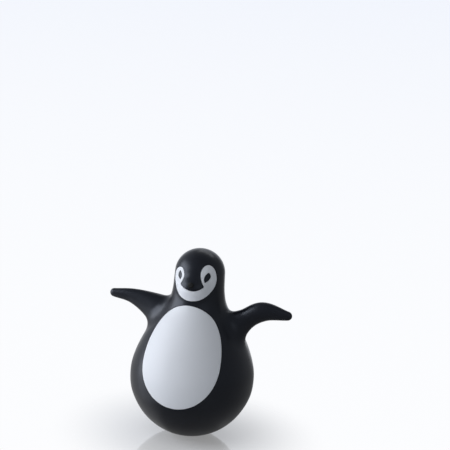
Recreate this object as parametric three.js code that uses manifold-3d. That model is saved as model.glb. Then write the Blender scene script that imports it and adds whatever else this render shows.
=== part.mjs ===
import * as THREE from "three";
import { mergeVertices } from "three/addons/utils/BufferGeometryUtils.js";
import Module from "manifold-3d";

const wasm = await Module();
wasm.setup();

// Main sizes in mm. The toy stands on Z = 0 and its belly and face look towards -Y.
const HEIGHT = 320;
const BODY_R = 103.3;
const HEAD_R = 41.25;
const HEAD_RISE = 40.1;
const HEAD_Z = HEIGHT - HEAD_RISE;
const SHOULDER_Z = 0.7 * HEIGHT;
const WALL = 4;
const FIT = 0.3;

// Side outline of body and neck: shares of BODY_R and HEIGHT, from the foot up
const SIDE = [
  [0, 0],
  [0.32, 0.0188],
  [0.587, 0.0635],
  [0.8105, 0.1363],
  [0.9667, 0.2355],
  [1, 0.3346],
  [0.951, 0.4214],
  [0.8274, 0.5205],
  [0.6498, 0.6197],
  [0.484, 0.7],
  [0.4186, 0.7744],
];

// Wings: reach from the middle, centre line above SHOULDER_Z, radius; the toy's own right is -X
const RIGHT_WING = [
  [39.7, -34.8, 38.7],
  [73.4, -14, 23.4],
  [110.9, -1.3, 12.8],
  [145.7, 0, 7.3],
];
const LEFT_WING = [
  [39.7, -50.3, 38.2],
  [79.3, -14.7, 18.7],
  [111.8, 6.2, 15.9],
  [152.8, 5.5, 7.6],
];
const WING_FLATNESS = 1.45;
const WING_FORWARD = 2;
const BLEND = 14;

// Muzzle, a low bulge on the front of the head
const MUZZLE_Y = -34;
const MUZZLE_DROP = 18;
const MUZZLE_Z = HEAD_Z - MUZZLE_DROP;
const MUZZLE_SIZE = [24, 18, 19];
const MUZZLE_BLEND = 10;

// Belly panel: an egg of two half ellipses, its top below the mask's chin (CHIN in shares of HEAD_R)
const BELLY_HALF_WIDTH = 64.6;
const BELLY_WIDEST_Z = 142.8;
const CHIN = -0.915;
const CHIN_GAP = 7.86;
const BELLY_UP = HEAD_Z + CHIN * HEAD_R - CHIN_GAP - BELLY_WIDEST_Z;
const BELLY_DOWN = 66.5;
const BELLY_T = 2;
const BELLY_SHELF = 9;
const SHADOW_GAP = 0.4;
const RIM_T = 1.8;
const RIM_DEPTH = 9;
const HOOK_COUNT = 6;
const HOOK_WIDTH = 8;
const HOOK_REACH = 1.2;
const HOOK_DEPTH = 3;

// Face mask
const MASK_T = 1.6;
const PEG_R = 1.5;
const PEG_LENGTH = 9;
// Places on the front of the head: shares of HEAD_R from its centre
const MASK_PEGS = [
  [0.0121, -0.69],
  [-0.6311, -0.4248],
  [0.7039, -0.4126],
  [0.5704, 0.385],
  [-0.755, -0.07],
];

// Nose
const NOSE_R = 5;
const NOSE_RISE = 1.6;
const NOSE_SEAT = 1.2;
const NOSE_DROP = 10;
const NOSE_Z = HEAD_Z - NOSE_DROP;
const NOSE_STEM_R = 2;

// Foot and ballast
const FLOOR_Z = 12;
const PLUG_R = 14;
const FOOT_R = 11;
const RECESS_TOP = 6.5;
const PAD_R = 30;
const PAD_T = 2;
const BALLAST_R = 56;
const BALLAST_TOP = 34;
const POCKET_R = 15;
const POCKET_DEPTH = 4;
const BOLT_R = 4;
const BOLT_HEAD_R = 8;
const BOLT_HEAD_T = 4.4;
const SOCKET_R = 2.9;
const WASHER_R = 12;
const WASHER_T = 2;
const NUT_R = 7.5;
const NUT_T = 6.5;

// Grid steps for the moulded surfaces
const COARSE = 11;
const FINE = 7.4;
const INSIDE_STEP = 16;

function clamp(value, low, high) {
  return Math.min(Math.max(value, low), high);
}

// Smooth union of two distances
function blend(a, b, width) {
  const h = Math.max(width - Math.abs(a - b), 0) / width;
  return Math.min(a, b) - (h * h * width) / 4;
}

// Side outline as one polyline, closed over the crown by a dome
function sideOutline() {
  const knots = SIDE.map(([r, z]) => new THREE.Vector2(r * BODY_R, z * HEIGHT));
  knots.unshift(new THREE.Vector2(-knots[1].x, knots[1].y));
  knots.push(new THREE.Vector2(HEAD_R, HEAD_Z));
  const steps = 5;
  const side = new THREE.SplineCurve(knots).getPoints(steps * (knots.length - 1)).slice(steps);
  const dome = new THREE.EllipseCurve(0, HEAD_Z, HEAD_R, HEIGHT - HEAD_Z, 0, Math.PI / 2);
  return side.concat(dome.getPoints(14).slice(1));
}

const outline = sideOutline();

function outlineDistance(r, z) {
  let best = Infinity;
  let inside = false;
  for (let i = 1; i < outline.length; i += 1) {
    const a = outline[i - 1];
    const b = outline[i];
    const er = b.x - a.x;
    const ez = b.y - a.y;
    const t = clamp(((r - a.x) * er + (z - a.y) * ez) / (er * er + ez * ez), 0, 1);
    best = Math.min(best, (r - a.x - t * er) ** 2 + (z - a.y - t * ez) ** 2);
    if (a.y <= z !== b.y <= z && r < a.x + ((z - a.y) * er) / ez) inside = !inside;
  }
  return inside ? -Math.sqrt(best) : Math.sqrt(best);
}

// A wing is a curved cone with a round end, flattened front to back
function wingSpine(stations, side) {
  const centre = stations.map(([x, z], i) => {
    const y = (-WING_FORWARD * Math.min(i, 2)) / 2;
    return new THREE.Vector3(side * x, y, SHOULDER_Z + z);
  });
  const radius = stations.map(([, , r], i) => new THREE.Vector3(i, r, 0));
  const steps = 12;
  const through = (points) => new THREE.CatmullRomCurve3(points, false, "catmullrom", 0.5).getPoints(steps);
  const radii = through(radius);
  return through(centre).map((p, i) => [p.x, p.y * WING_FLATNESS, p.z, radii[i].y]);
}

const wings = [wingSpine(RIGHT_WING, -1), wingSpine(LEFT_WING, 1)];

function wingDistance(spine, x, y, z) {
  const qy = y * WING_FLATNESS;
  let best = Infinity;
  for (let i = 1; i < spine.length; i += 1) {
    const [ax, ay, az, ar] = spine[i - 1];
    const [bx, by, bz, br] = spine[i];
    const ex = bx - ax;
    const ey = by - ay;
    const ez = bz - az;
    const len2 = ex * ex + ey * ey + ez * ez;
    const len = Math.sqrt(len2);
    const along = ((x - ax) * ex + (qy - ay) * ey + (z - az) * ez) / len2;
    const off = Math.hypot(x - ax - along * ex, qy - ay - along * ey, z - az - along * ez);
    const slope = clamp((ar - br) / len, -0.95, 0.95);
    const t = clamp(along + (off * slope) / Math.sqrt(1 - slope * slope) / len, 0, 1);
    const vx = x - ax - t * ex;
    const vy = qy - ay - t * ey;
    const vz = z - az - t * ez;
    const dist = Math.hypot(vx, vy, vz);
    const stretch = Math.hypot(vx, WING_FLATNESS * vy, vz) / Math.max(dist, 1e-9);
    best = Math.min(best, (dist - ar - (br - ar) * t) / Math.max(stretch, 1e-9));
  }
  return best;
}

function muzzleDistance(x, y, z) {
  const [a, b, c] = MUZZLE_SIZE;
  const dy = y - MUZZLE_Y;
  const dz = z - MUZZLE_Z;
  const k0 = Math.hypot(x / a, dy / b, dz / c);
  const k1 = Math.hypot(x / (a * a), dy / (b * b), dz / (c * c));
  return (k0 * (k0 - 1)) / Math.max(k1, 1e-9);
}

// Distance to the outer skin of the whole toy, negative inside
function skin(x, y, z) {
  let d = outlineDistance(Math.hypot(x, y), z);
  for (const spine of wings) d = blend(d, wingDistance(spine, x, y, z), BLEND);
  return blend(d, muzzleDistance(x, y, z), MUZZLE_BLEND);
}

// Grid lines along one axis, from stretches of [start, end, step]
function gridLines(stretches) {
  const lines = [stretches[0][0]];
  for (const [from, to, step] of stretches) {
    const count = Math.max(Math.round((to - from) / step), 1);
    for (let i = 1; i <= count; i += 1) lines.push(from + ((to - from) * i) / count);
  }
  return lines;
}

// The grid closes up around the wings, which are thinner than the body
function gridNode(x, y, z) {
  const share = clamp((Math.abs(x) / BODY_R - 0.72) / 0.4, 0, 1);
  const close = share * share * (3 - 2 * share);
  const middle = 0.71 * HEIGHT;
  return [x, y * (1 - 0.5 * close), middle + (z - middle) * (1 - 0.35 * close)];
}

function makeGrid(coarse, fine) {
  const reach = Math.max(RIGHT_WING.at(-1)[0], LEFT_WING.at(-1)[0]) + 2 * coarse;
  const wide = BODY_R + 1.5 * coarse;
  const head = 1.1 * HEAD_R;
  const wing = 0.82 * BODY_R;
  const thin = 0.25 * BODY_R;
  const shoulder = 0.53 * HEIGHT;
  const top = HEIGHT + 1.5 * fine;
  const xs = [
    [-reach, -wing, fine],
    [-wing, -head, coarse],
    [-head, head, coarse * 0.8],
    [head, wing, coarse],
    [wing, reach, fine],
  ];
  const ys = [[-wide, -thin, coarse], [-thin, thin, fine], [thin, wide, coarse]];
  const zs = [[-0.8 * coarse, shoulder, coarse], [shoulder, top, fine]];
  return sample([xs, ys, zs].map(gridLines));
}

function sample(axes) {
  const [xs, ys, zs] = axes;
  const nodes = [];
  for (const x of xs) {
    for (const y of ys) {
      for (const z of zs) nodes.push(gridNode(x, y, z));
    }
  }
  return { counts: axes.map((lines) => lines.length), nodes, values: nodes.map((p) => skin(...p)) };
}

// Moves a point straight onto the surface where skin equals level
function settle(p, level) {
  const h = 0.02;
  for (let i = 0; i < 3; i += 1) {
    const f = skin(p[0], p[1], p[2]) - level;
    const gx = (skin(p[0] + h, p[1], p[2]) - skin(p[0] - h, p[1], p[2])) / (2 * h);
    const gy = (skin(p[0], p[1] + h, p[2]) - skin(p[0], p[1] - h, p[2])) / (2 * h);
    const gz = (skin(p[0], p[1], p[2] + h) - skin(p[0], p[1], p[2] - h)) / (2 * h);
    const g2 = Math.max(gx * gx + gy * gy + gz * gz, 0.25);
    p[0] -= (f * gx) / g2;
    p[1] -= (f * gy) / g2;
    p[2] -= (f * gz) / g2;
  }
}

// Which grid nodes lie inside a level. Where the four corners of a grid face alternate, the one
// nearest to the level changes side, so that two sheets of the surface never share a cell.
function nodesInside(grid, level) {
  const [nx, ny, nz] = grid.counts;
  const inside = Array.from(grid.values, (value) => value < level);
  const stride = [ny * nz, nz, 1];
  const off = (n) => Math.abs(grid.values[n] - level);
  for (let pass = 0; pass < 4; pass += 1) {
    for (let i = 0; i < nx - 1; i += 1) {
      for (let j = 0; j < ny - 1; j += 1) {
        for (let k = 0; k < nz - 1; k += 1) {
          const a = (i * ny + j) * nz + k;
          for (let d = 0; d < 3; d += 1) {
            const b = a + stride[(d + 1) % 3];
            const e = a + stride[(d + 2) % 3];
            const c = b + stride[(d + 2) % 3];
            if (inside[a] !== inside[c] || inside[b] !== inside[e] || inside[a] === inside[b]) continue;
            const [nearest] = [a, b, c, e].sort((m, n) => off(m) - off(n));
            inside[nearest] = !inside[nearest];
          }
        }
      }
    }
  }
  return inside;
}

// Puts the outermost point in each direction right on the outermost place of the surface
function reachOut(points, level) {
  for (let d = 0; d < 3; d += 1) {
    for (const side of [-1, 1]) {
      const outer = points.reduce((best, p) => (side * p[d] > side * best[d] ? p : best));
      for (let i = 0; i < 40; i += 1) {
        outer[d] += side * 4;
        settle(outer, level);
      }
    }
  }
}

// Closed solid inside the surface where skin equals level: one point in each cell that the
// surface crosses, and one four-sided face across each grid edge that it crosses
function levelSolid(grid, level) {
  const { nodes, values } = grid;
  const [nx, ny, nz] = grid.counts;
  const at = (i, j, k) => (i * ny + j) * nz + k;
  const inside = nodesInside(grid, level);
  const cells = new Map();
  const points = [];
  const faces = [];
  const cellPoint = (i, j, k, crossing) => {
    const key = at(i, j, k);
    if (!cells.has(key)) {
      cells.set(key, points.length);
      points.push([0, 0, 0, 0]);
    }
    const p = points[cells.get(key)];
    for (let d = 0; d < 3; d += 1) p[d] += crossing[d];
    p[3] += 1;
    return cells.get(key);
  };
  for (let i = 0; i < nx - 1; i += 1) {
    for (let j = 0; j < ny - 1; j += 1) {
      for (let k = 0; k < nz - 1; k += 1) {
        for (let d = 0; d < 3; d += 1) {
          const a = [i, j, k];
          const b = [i, j, k];
          b[d] += 1;
          if (inside[at(...a)] === inside[at(...b)]) continue;
          const fa = values[at(...a)] - level;
          const fb = values[at(...b)] - level;
          const t = fa * fb < 0 ? fa / (fa - fb) : 0.5;
          const crossing = nodes[at(...a)].map((from, m) => from + t * (nodes[at(...b)][m] - from));
          const u = (d + 1) % 3;
          const v = (d + 2) % 3;
          const quad = [[0, 0], [1, 0], [1, 1], [0, 1]].map(([du, dv]) => {
            const cell = [i, j, k];
            cell[u] -= du;
            cell[v] -= dv;
            return cellPoint(...cell, crossing);
          });
          faces.push(inside[at(...a)] ? quad : quad.reverse());
        }
      }
    }
  }
  for (const p of points) {
    for (let d = 0; d < 3; d += 1) p[d] /= p[3];
    settle(p, level);
  }
  if (level === 0) reachOut(points, level);
  const triangles = [];
  for (const [a, b, c, d] of faces) {
    const span = (m, n) => Math.hypot(...[0, 1, 2].map((e) => points[m][e] - points[n][e]));
    if (span(a, c) < span(b, d)) triangles.push(a, b, c, a, c, d);
    else triangles.push(a, b, d, b, c, d);
  }
  const flat = points.flatMap(([x, y, z]) => [x, y, z]);
  return makeSolid(Float32Array.from(flat), Uint32Array.from(triangles));
}

function makeSolid(positions, triangles) {
  const build = (index) =>
    new wasm.Manifold(new wasm.Mesh({ numProp: 3, vertProperties: positions, triVerts: index }));
  const made = build(triangles);
  return made.volume() > 0 ? made : build(triangles.slice().reverse());
}

// Solid from a three.js geometry
function solidOf(geometry) {
  const bare = geometry.clone();
  bare.deleteAttribute("normal");
  bare.deleteAttribute("uv");
  const merged = mergeVertices(bare, 1e-4);
  const index = Array.from(merged.index.array);
  const kept = [];
  for (let i = 0; i < index.length; i += 3) {
    const [a, b, c] = index.slice(i, i + 3);
    if (a !== b && b !== c && c !== a) kept.push(a, b, c);
  }
  return makeSolid(Float32Array.from(merged.attributes.position.array), Uint32Array.from(kept));
}

// Body of revolution about Z from a closed outline of [radius, height]
function turned(pairs, segments) {
  const points = pairs.map(([r, z]) => new THREE.Vector2(r, z));
  points.push(points[0].clone());
  return solidOf(new THREE.LatheGeometry(points, segments).rotateX(Math.PI / 2));
}

function hexagon(radius, low, high) {
  const bar = new THREE.CylinderGeometry(radius, radius, high - low, 6).rotateX(Math.PI / 2);
  return solidOf(bar.translate(0, 0, (low + high) / 2));
}

// Prism with its outline in the X-Z plane, from y = front to y = back
function frontPrism(points, front, back) {
  const shape = new THREE.Shape(points);
  const bar = new THREE.ExtrudeGeometry(shape, { depth: back - front, bevelEnabled: false });
  return solidOf(bar.rotateX(Math.PI / 2).translate(0, back, 0));
}

// Outline moved outwards by a distance, inwards when it is negative
function grown(points, distance) {
  const turn = THREE.ShapeUtils.isClockWise(points) ? -1 : 1;
  return points.map((p, i) => {
    const before = points[(i + points.length - 1) % points.length];
    const after = points[(i + 1) % points.length];
    const a = p.clone().sub(before).normalize();
    const b = after.clone().sub(p).normalize();
    const normal = new THREE.Vector2(a.y + b.y, -a.x - b.x).normalize();
    const widen = 1 / Math.max(normal.dot(new THREE.Vector2(a.y, -a.x)), 0.5);
    return p.clone().addScaledVector(normal, turn * distance * widen);
  });
}

// Front view of the egg, drawn in by a margin
function eggOutline(margin, steps) {
  const r = BELLY_HALF_WIDTH - margin;
  const z = BELLY_WIDEST_Z;
  const upper = new THREE.EllipseCurve(0, z, r, BELLY_UP - margin, 0, Math.PI);
  const lower = new THREE.EllipseCurve(0, z, r, BELLY_DOWN - margin, Math.PI, 2 * Math.PI);
  return upper.getPoints(steps).slice(0, -1).concat(lower.getPoints(steps).slice(0, -1));
}

// A place on the front of the head, from its shares of HEAD_R
function onHead([x, z]) {
  return new THREE.Vector2(x * HEAD_R, HEAD_Z + z * HEAD_R);
}

// Smooth line through places on the head
function throughPlaces(places, steps) {
  return new THREE.SplineCurve(places.map(onHead)).getPoints(steps);
}

// Front view of the mask: a smile band that ends in a loop round each eye
function maskOutline() {
  const rightCorner = [-0.4813, -0.2801];
  const leftCorner = [0.503, -0.2789];
  const smile = [
    rightCorner,
    [-0.374, -0.345],
    [-0.22, -0.412],
    [-0.05, -0.458],
    [0.1062, -0.4717],
    [0.24, -0.445],
    [0.37, -0.388],
    [0.4622, -0.3235],
    leftCorner,
  ];
  const leftLoop = [
    leftCorner,
    [0.4, -0.12],
    [0.315, 0.05],
    [0.29, 0.23],
    [0.325, 0.395],
    [0.41, 0.5],
    [0.515, 0.527],
    [0.63, 0.48],
    [0.74, 0.36],
    [0.82, 0.17],
    [0.85, -0.06],
    [0.825, -0.27],
    [0.755, -0.455],
    [0.64, -0.63],
  ];
  const chin = [[0.49, -0.765], [0.31, -0.86], [0.09, -0.905], [-0.13, CHIN], [-0.34, -0.858], [-0.53, -0.74]];
  const rightLoop = [
    [-0.685, -0.58],
    [-0.79, -0.39],
    [-0.85, -0.2],
    [-0.857, -0.02],
    [-0.81, 0.14],
    [-0.73, 0.25],
    [-0.63, 0.312],
    [-0.53, 0.312],
    [-0.45, 0.255],
    [-0.395, 0.155],
    [-0.375, 0.04],
    [-0.39, -0.07],
    [-0.425, -0.175],
    rightCorner,
  ];
  const inner = throughPlaces(smile, 16);
  const outer = throughPlaces([...leftLoop, ...chin, ...rightLoop], 66);
  return inner.slice(0, -1).concat(outer.slice(0, -1));
}

// Front view of an eye: a leaf with its point below
function eyeOutline(places) {
  return throughPlaces([...places, places[0]], 20).slice(0, -1);
}

const RIGHT_EYE = [
  [-0.53, -0.145],
  [-0.645, -0.09],
  [-0.672, 0.01],
  [-0.607, 0.175],
  [-0.535, 0.13],
  [-0.488, -0.005],
];
const LEFT_EYE = [
  [0.495, -0.141],
  [0.438, 0.002],
  [0.475, 0.15],
  [0.575, 0.247],
  [0.657, 0.115],
  [0.61, -0.035],
];

// y of the front skin, or of a level below it, at a place in the front view
function frontY(x, z, level) {
  let out = -BODY_R - 30;
  let inn = 0;
  for (let i = 0; i < 40; i += 1) {
    const mid = (out + inn) / 2;
    if (skin(x, mid, z) > level) out = mid;
    else inn = mid;
  }
  return inn;
}

// Height of a level of the underside at a radius
function undersideZ(r, level) {
  let low = 0;
  let high = 0.3375 * HEIGHT;
  for (let i = 0; i < 40; i += 1) {
    const mid = (low + high) / 2;
    if (outlineDistance(r, mid) > level) low = mid;
    else high = mid;
  }
  return high;
}

// Round bar along Y, from y = front, its far end chamfered
function peg(x, z, radius, front, length, chamfer = 0.6) {
  const end = length - 1.6 * chamfer;
  const tip = chamfer > 0 ? [[radius, end], [radius - chamfer, length]] : [[radius, length]];
  const pin = turned([[0, 0], [radius, 0], ...tip, [0, length]], radius > 3 ? 36 : 16);
  return pin.rotate([-90, 0, 0]).translate([x, front, z]);
}

function pegHole(x, z, radius) {
  return peg(x, z, radius + FIT, -BODY_R, BODY_R - 8, 0);
}

const FRONT = -BODY_R - 25;
const DEEP = -10;
const MASK_DEEP = -12;
const outerGrid = makeGrid(COARSE, FINE);
const outerSkin = levelSolid(outerGrid, 0);

// All that lies in front of a level of the skin, inside an outline of the front view
function pocket(points, back, level) {
  return frontPrism(points, FRONT, back).subtract(levelSolid(outerGrid, level));
}

// The layer of the skin between two levels, inside an outline of the front view
function layer(points, back, from, to) {
  return pocket(points, back, to).intersect(levelSolid(outerGrid, from));
}

const egg = eggOutline(0, 26);
const mask = maskOutline();
const rightEye = eyeOutline(RIGHT_EYE);
const leftEye = eyeOutline(LEFT_EYE);
const eyes = [rightEye, leftEye];
const eyeCentres = eyes.map((points) => {
  return new THREE.Box2().setFromPoints(points).getCenter(new THREE.Vector2());
});

// Body shell: skin, hollow, rebates, access opening, peg holes and the bolt recess
function bodyShell() {
  const hollow = levelSolid(makeGrid(INSIDE_STEP, INSIDE_STEP * 0.72), -WALL);
  const below = solidOf(new THREE.BoxGeometry(4 * BODY_R, 4 * BODY_R, 2 * FLOOR_Z));
  let shell = outerSkin.subtract(hollow.subtract(below));
  shell = shell.subtract(pocket(grown(egg, SHADOW_GAP), DEEP, -BELLY_T - FIT));
  shell = shell.subtract(frontPrism(eggOutline(BELLY_SHELF, 20), FRONT, DEEP));
  shell = shell.subtract(pocket(grown(mask, SHADOW_GAP), MASK_DEEP, -MASK_T - FIT));
  for (const place of MASK_PEGS.map(onHead)) shell = shell.subtract(pegHole(place.x, place.y, PEG_R));
  for (const centre of eyeCentres) shell = shell.subtract(pegHole(centre.x, centre.y, PEG_R));
  shell = shell.subtract(pegHole(0, NOSE_Z, NOSE_STEM_R));
  const seat = frontY(0, NOSE_Z, -NOSE_SEAT);
  shell = shell.subtract(peg(0, NOSE_Z, NOSE_R + FIT, seat - 12, 12, 0));
  const r = PLUG_R + FIT;
  const groove = r + 0.8;
  const recess = turned(
    [[0, -2], [r, -2], [r, 3], [groove, 3.4], [groove, 5], [r, 5.4], [r, RECESS_TOP], [0, RECESS_TOP]],
    36,
  );
  const hole = turned([[0, 0], [BOLT_R + FIT, 0], [BOLT_R + FIT, FLOOR_Z + 1], [0, FLOOR_Z + 1]], 24);
  return shell.subtract(recess).subtract(hole);
}

// Belly panel: egg-shaped skin with a locating rim and snap hooks behind it
function bellyPanel() {
  let panel = layer(egg, DEEP, 0, -BELLY_T);
  const outerEdge = eggOutline(BELLY_SHELF + SHADOW_GAP, 20);
  const innerEdge = eggOutline(BELLY_SHELF + SHADOW_GAP + RIM_T, 20);
  const inside = frontPrism(innerEdge, FRONT, DEEP);
  const rim = layer(outerEdge, DEEP, -BELLY_T * 0.5, -RIM_DEPTH).subtract(inside);
  panel = panel.add(rim);
  const inset = BELLY_SHELF + SHADOW_GAP + RIM_T / 2;
  const reach = RIM_T / 2 + HOOK_REACH;
  const track = eggOutline(inset, 6 * HOOK_COUNT);
  for (let i = 0; i < HOOK_COUNT; i += 1) {
    const at = Math.round(((i + 0.5) / HOOK_COUNT) * track.length) % track.length;
    const p = track[at];
    const along = track[(at + 1) % track.length].clone().sub(track[at - 1]).normalize();
    const out = new THREE.Vector2(along.y, -along.x);
    let front = -Infinity;
    for (const side of [-0.5, 0.5]) {
      const corner = p.clone().addScaledVector(along, side * HOOK_WIDTH).addScaledVector(out, reach);
      front = Math.max(front, frontY(corner.x, corner.y, -WALL - 0.8));
    }
    const centre = p.clone().addScaledVector(out, reach / 2);
    const hook = new THREE.BoxGeometry(HOOK_WIDTH, HOOK_DEPTH, reach);
    hook.rotateY(-Math.atan2(along.y, along.x));
    hook.translate(centre.x, front + HOOK_DEPTH / 2, centre.y);
    panel = panel.add(solidOf(hook));
  }
  return panel;
}

// Face mask: one white band with its pegs, open at the eyes
function faceMask() {
  let plate = layer(mask, MASK_DEEP, 0, -MASK_T);
  for (const points of eyes) plate = plate.subtract(frontPrism(grown(points, FIT / 2), FRONT, MASK_DEEP));
  for (const place of MASK_PEGS.map(onHead)) {
    plate = plate.add(peg(place.x, place.y, PEG_R, frontY(place.x, place.y, -MASK_T / 2), PEG_LENGTH));
  }
  return plate;
}

function eyeInsert(points, centre) {
  const leaf = layer(grown(points, -FIT / 2), MASK_DEEP, 0, -MASK_T);
  return leaf.add(peg(centre.x, centre.y, PEG_R, frontY(centre.x, centre.y, -MASK_T / 2), PEG_LENGTH));
}

// Nose: domed button on a stem, turned about its own axis, the dome downwards
function noseButton() {
  const rise = NOSE_RISE + NOSE_SEAT - FIT;
  const dome = new THREE.EllipseCurve(0, 0, NOSE_R, rise - 0.8, -Math.PI / 2, 0).getPoints(5);
  const pairs = dome.map((p) => [p.x, p.y - 0.8]);
  pairs.push([NOSE_R, 0], [NOSE_STEM_R, 0], [NOSE_STEM_R, 8], [NOSE_STEM_R - 0.8, 9], [0, 9]);
  return turned(pairs, 24);
}

// Ballast weight: its underside follows the inside of the shell
function ballastWeight() {
  const low = FLOOR_Z + PAD_T + 2 * FIT;
  const hole = BOLT_R + 0.5;
  const pairs = [[hole, low]];
  const steps = 6;
  for (let i = 0; i <= steps; i += 1) {
    const r = PAD_R + ((BALLAST_R - PAD_R) * i) / steps;
    const z = undersideZ(r, -WALL - 1.5);
    if (z > low + 0.5) pairs.push([r, z]);
    else if (i === 0) pairs.push([r, low]);
  }
  const pocket = BALLAST_TOP - POCKET_DEPTH;
  pairs.push([BALLAST_R, BALLAST_TOP - 2], [BALLAST_R - 2, BALLAST_TOP], [POCKET_R, BALLAST_TOP]);
  pairs.push([POCKET_R, pocket], [hole, pocket]);
  return turned(pairs, 40);
}

function ring(inner, outer, thick, segments) {
  return turned([[inner, 0], [outer, 0], [outer, thick], [inner, thick]], segments);
}

// Bolt: pan head at its lower end, socket from below, zero at the underside of the head
function ballastBolt(length) {
  const t = BOLT_HEAD_T;
  const r = BOLT_HEAD_R;
  const pairs = [[0, -t], [r - 2.4, -t], [r - 0.7, 1.2 - t], [r, 2.6 - t], [r, 0], [BOLT_R, 0]];
  pairs.push([BOLT_R, length - 0.8], [BOLT_R - 0.8, length], [0, length]);
  return turned(pairs, 24).subtract(hexagon(SOCKET_R, -t - 1, -t + 2.4));
}

// Lock nut: hexagon with a round collar on top
function ballastNut() {
  const collar = 1.6;
  const body = hexagon(NUT_R, 0, NUT_T - collar);
  const r = NUT_R * 0.84;
  const rim = turned([[0, 0], [r, 0], [r, NUT_T - 0.5], [NUT_R * 0.76, NUT_T], [0, NUT_T]], 24);
  const bore = turned([[0, -1], [BOLT_R + FIT, -1], [BOLT_R + FIT, NUT_T + 1], [0, NUT_T + 1]], 24);
  return body.add(rim).subtract(bore);
}

// Base plug: soft cup with a flat foot and a snap bead
function basePlug() {
  const top = RECESS_TOP - FIT;
  const edge = undersideZ(PLUG_R, 0);
  const pocket = BOLT_HEAD_R + 1.2;
  const floor = RECESS_TOP - BOLT_HEAD_T - 2 * FIT - 0.3;
  const pairs = [
    [0, 0],
    [FOOT_R, 0],
    [PLUG_R - 0.8, edge * 0.7],
    [PLUG_R, edge + 0.4],
    [PLUG_R, 3.4],
    [PLUG_R + 0.8, 3.8],
    [PLUG_R + 0.8, 4.6],
    [PLUG_R, 5],
    [PLUG_R, top],
    [pocket, top],
    [pocket, floor],
    [0, floor],
  ];
  return turned(pairs, 36);
}

const BLACK = { color: "#1b1c20", roughness: 0.42, metalness: 0 };
const WHITE = { color: "#dde1e6", roughness: 0.38, metalness: 0 };
const STEEL = { color: "#a9adb1", roughness: 0.35, metalness: 1 };

function piece(name, solid, look, place = [0, 0, 0], rotation = [0, 0, 0]) {
  const made = solid.getMesh();
  const geometry = new THREE.BufferGeometry();
  geometry.setAttribute("position", new THREE.BufferAttribute(Float32Array.from(made.vertProperties), 3));
  geometry.setIndex(new THREE.BufferAttribute(Uint32Array.from(made.triVerts), 1));
  geometry.computeVertexNormals();
  const mesh = new THREE.Mesh(geometry, new THREE.MeshStandardMaterial(look));
  mesh.name = name;
  mesh.position.set(...place);
  mesh.rotation.set(...rotation);
  return mesh;
}

// Heights of the clamped stack
const headSeat = RECESS_TOP - FIT;
const padZ = FLOOR_Z + FIT;
const washerZ = BALLAST_TOP - POCKET_DEPTH + FIT;
const nutZ = washerZ + WASHER_T + FIT;
const boltLength = nutZ + NUT_T + 3 - headSeat;
const noseSeatY = frontY(0, NOSE_Z, -NOSE_SEAT) - FIT;

const moulding = new THREE.Group();
moulding.name = "moulding";
moulding.add(piece("body_shell", bodyShell(), BLACK));
moulding.add(piece("belly_panel", bellyPanel(), WHITE));

const face = new THREE.Group();
face.name = "face";
face.add(piece("face_mask", faceMask(), WHITE));
face.add(piece("right_eye", eyeInsert(rightEye, eyeCentres[0]), BLACK));
face.add(piece("left_eye", eyeInsert(leftEye, eyeCentres[1]), BLACK));
face.add(piece("nose", noseButton(), BLACK, [0, noseSeatY, NOSE_Z], [-Math.PI / 2, 0, 0]));

const ballast = new THREE.Group();
ballast.name = "ballast";
const iron = { color: "#4b4d50", roughness: 0.7, metalness: 1 };
const rubber = { color: "#26272a", roughness: 0.85, metalness: 0 };
ballast.add(piece("ballast_weight", ballastWeight(), iron));
ballast.add(piece("ballast_pad", ring(BOLT_R + 1, PAD_R, PAD_T, 36), rubber, [0, 0, padZ]));
ballast.add(piece("ballast_bolt", ballastBolt(boltLength), STEEL, [0, 0, headSeat]));
ballast.add(piece("ballast_washer", ring(BOLT_R + FIT, WASHER_R, WASHER_T, 28), STEEL, [0, 0, washerZ]));
ballast.add(piece("ballast_nut", ballastNut(), STEEL, [0, 0, nutZ]));
ballast.add(piece("base_plug", basePlug(), rubber));

const toy = new THREE.Group();
toy.name = "roly_poly_penguin";
toy.add(moulding, face, ballast);

export default toy;
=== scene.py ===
"""Looks of a self-righting toy penguin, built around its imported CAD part."""

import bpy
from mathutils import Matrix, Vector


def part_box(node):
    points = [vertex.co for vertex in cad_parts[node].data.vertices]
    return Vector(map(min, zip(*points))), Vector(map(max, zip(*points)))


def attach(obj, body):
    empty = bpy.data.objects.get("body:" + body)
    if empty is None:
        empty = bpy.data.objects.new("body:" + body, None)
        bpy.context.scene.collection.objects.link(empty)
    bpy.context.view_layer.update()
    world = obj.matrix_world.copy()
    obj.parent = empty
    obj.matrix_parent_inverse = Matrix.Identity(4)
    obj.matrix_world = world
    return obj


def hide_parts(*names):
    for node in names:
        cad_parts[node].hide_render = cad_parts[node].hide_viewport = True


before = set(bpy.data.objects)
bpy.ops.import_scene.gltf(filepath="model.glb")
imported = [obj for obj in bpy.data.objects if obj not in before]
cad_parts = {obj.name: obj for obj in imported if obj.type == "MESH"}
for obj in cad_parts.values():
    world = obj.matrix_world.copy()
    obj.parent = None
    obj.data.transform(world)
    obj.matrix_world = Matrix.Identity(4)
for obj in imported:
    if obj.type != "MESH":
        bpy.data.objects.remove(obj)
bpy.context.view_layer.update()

import math

import bmesh
import bpy
import numpy as np
from mathutils import Matrix, Vector
from mathutils.geometry import delaunay_2d_cdt

bl_info = {
    "name": "Roly-poly toy penguin",
    "version": (1, 0, 0),
    "blender": (4, 5, 0),
    "location": "3D View > Sidebar > Penguin",
    "description": "Moulded pieces, ballast and studio of a self-righting toy penguin",
    "category": "Add Mesh",
}

MM = 0.001

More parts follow.
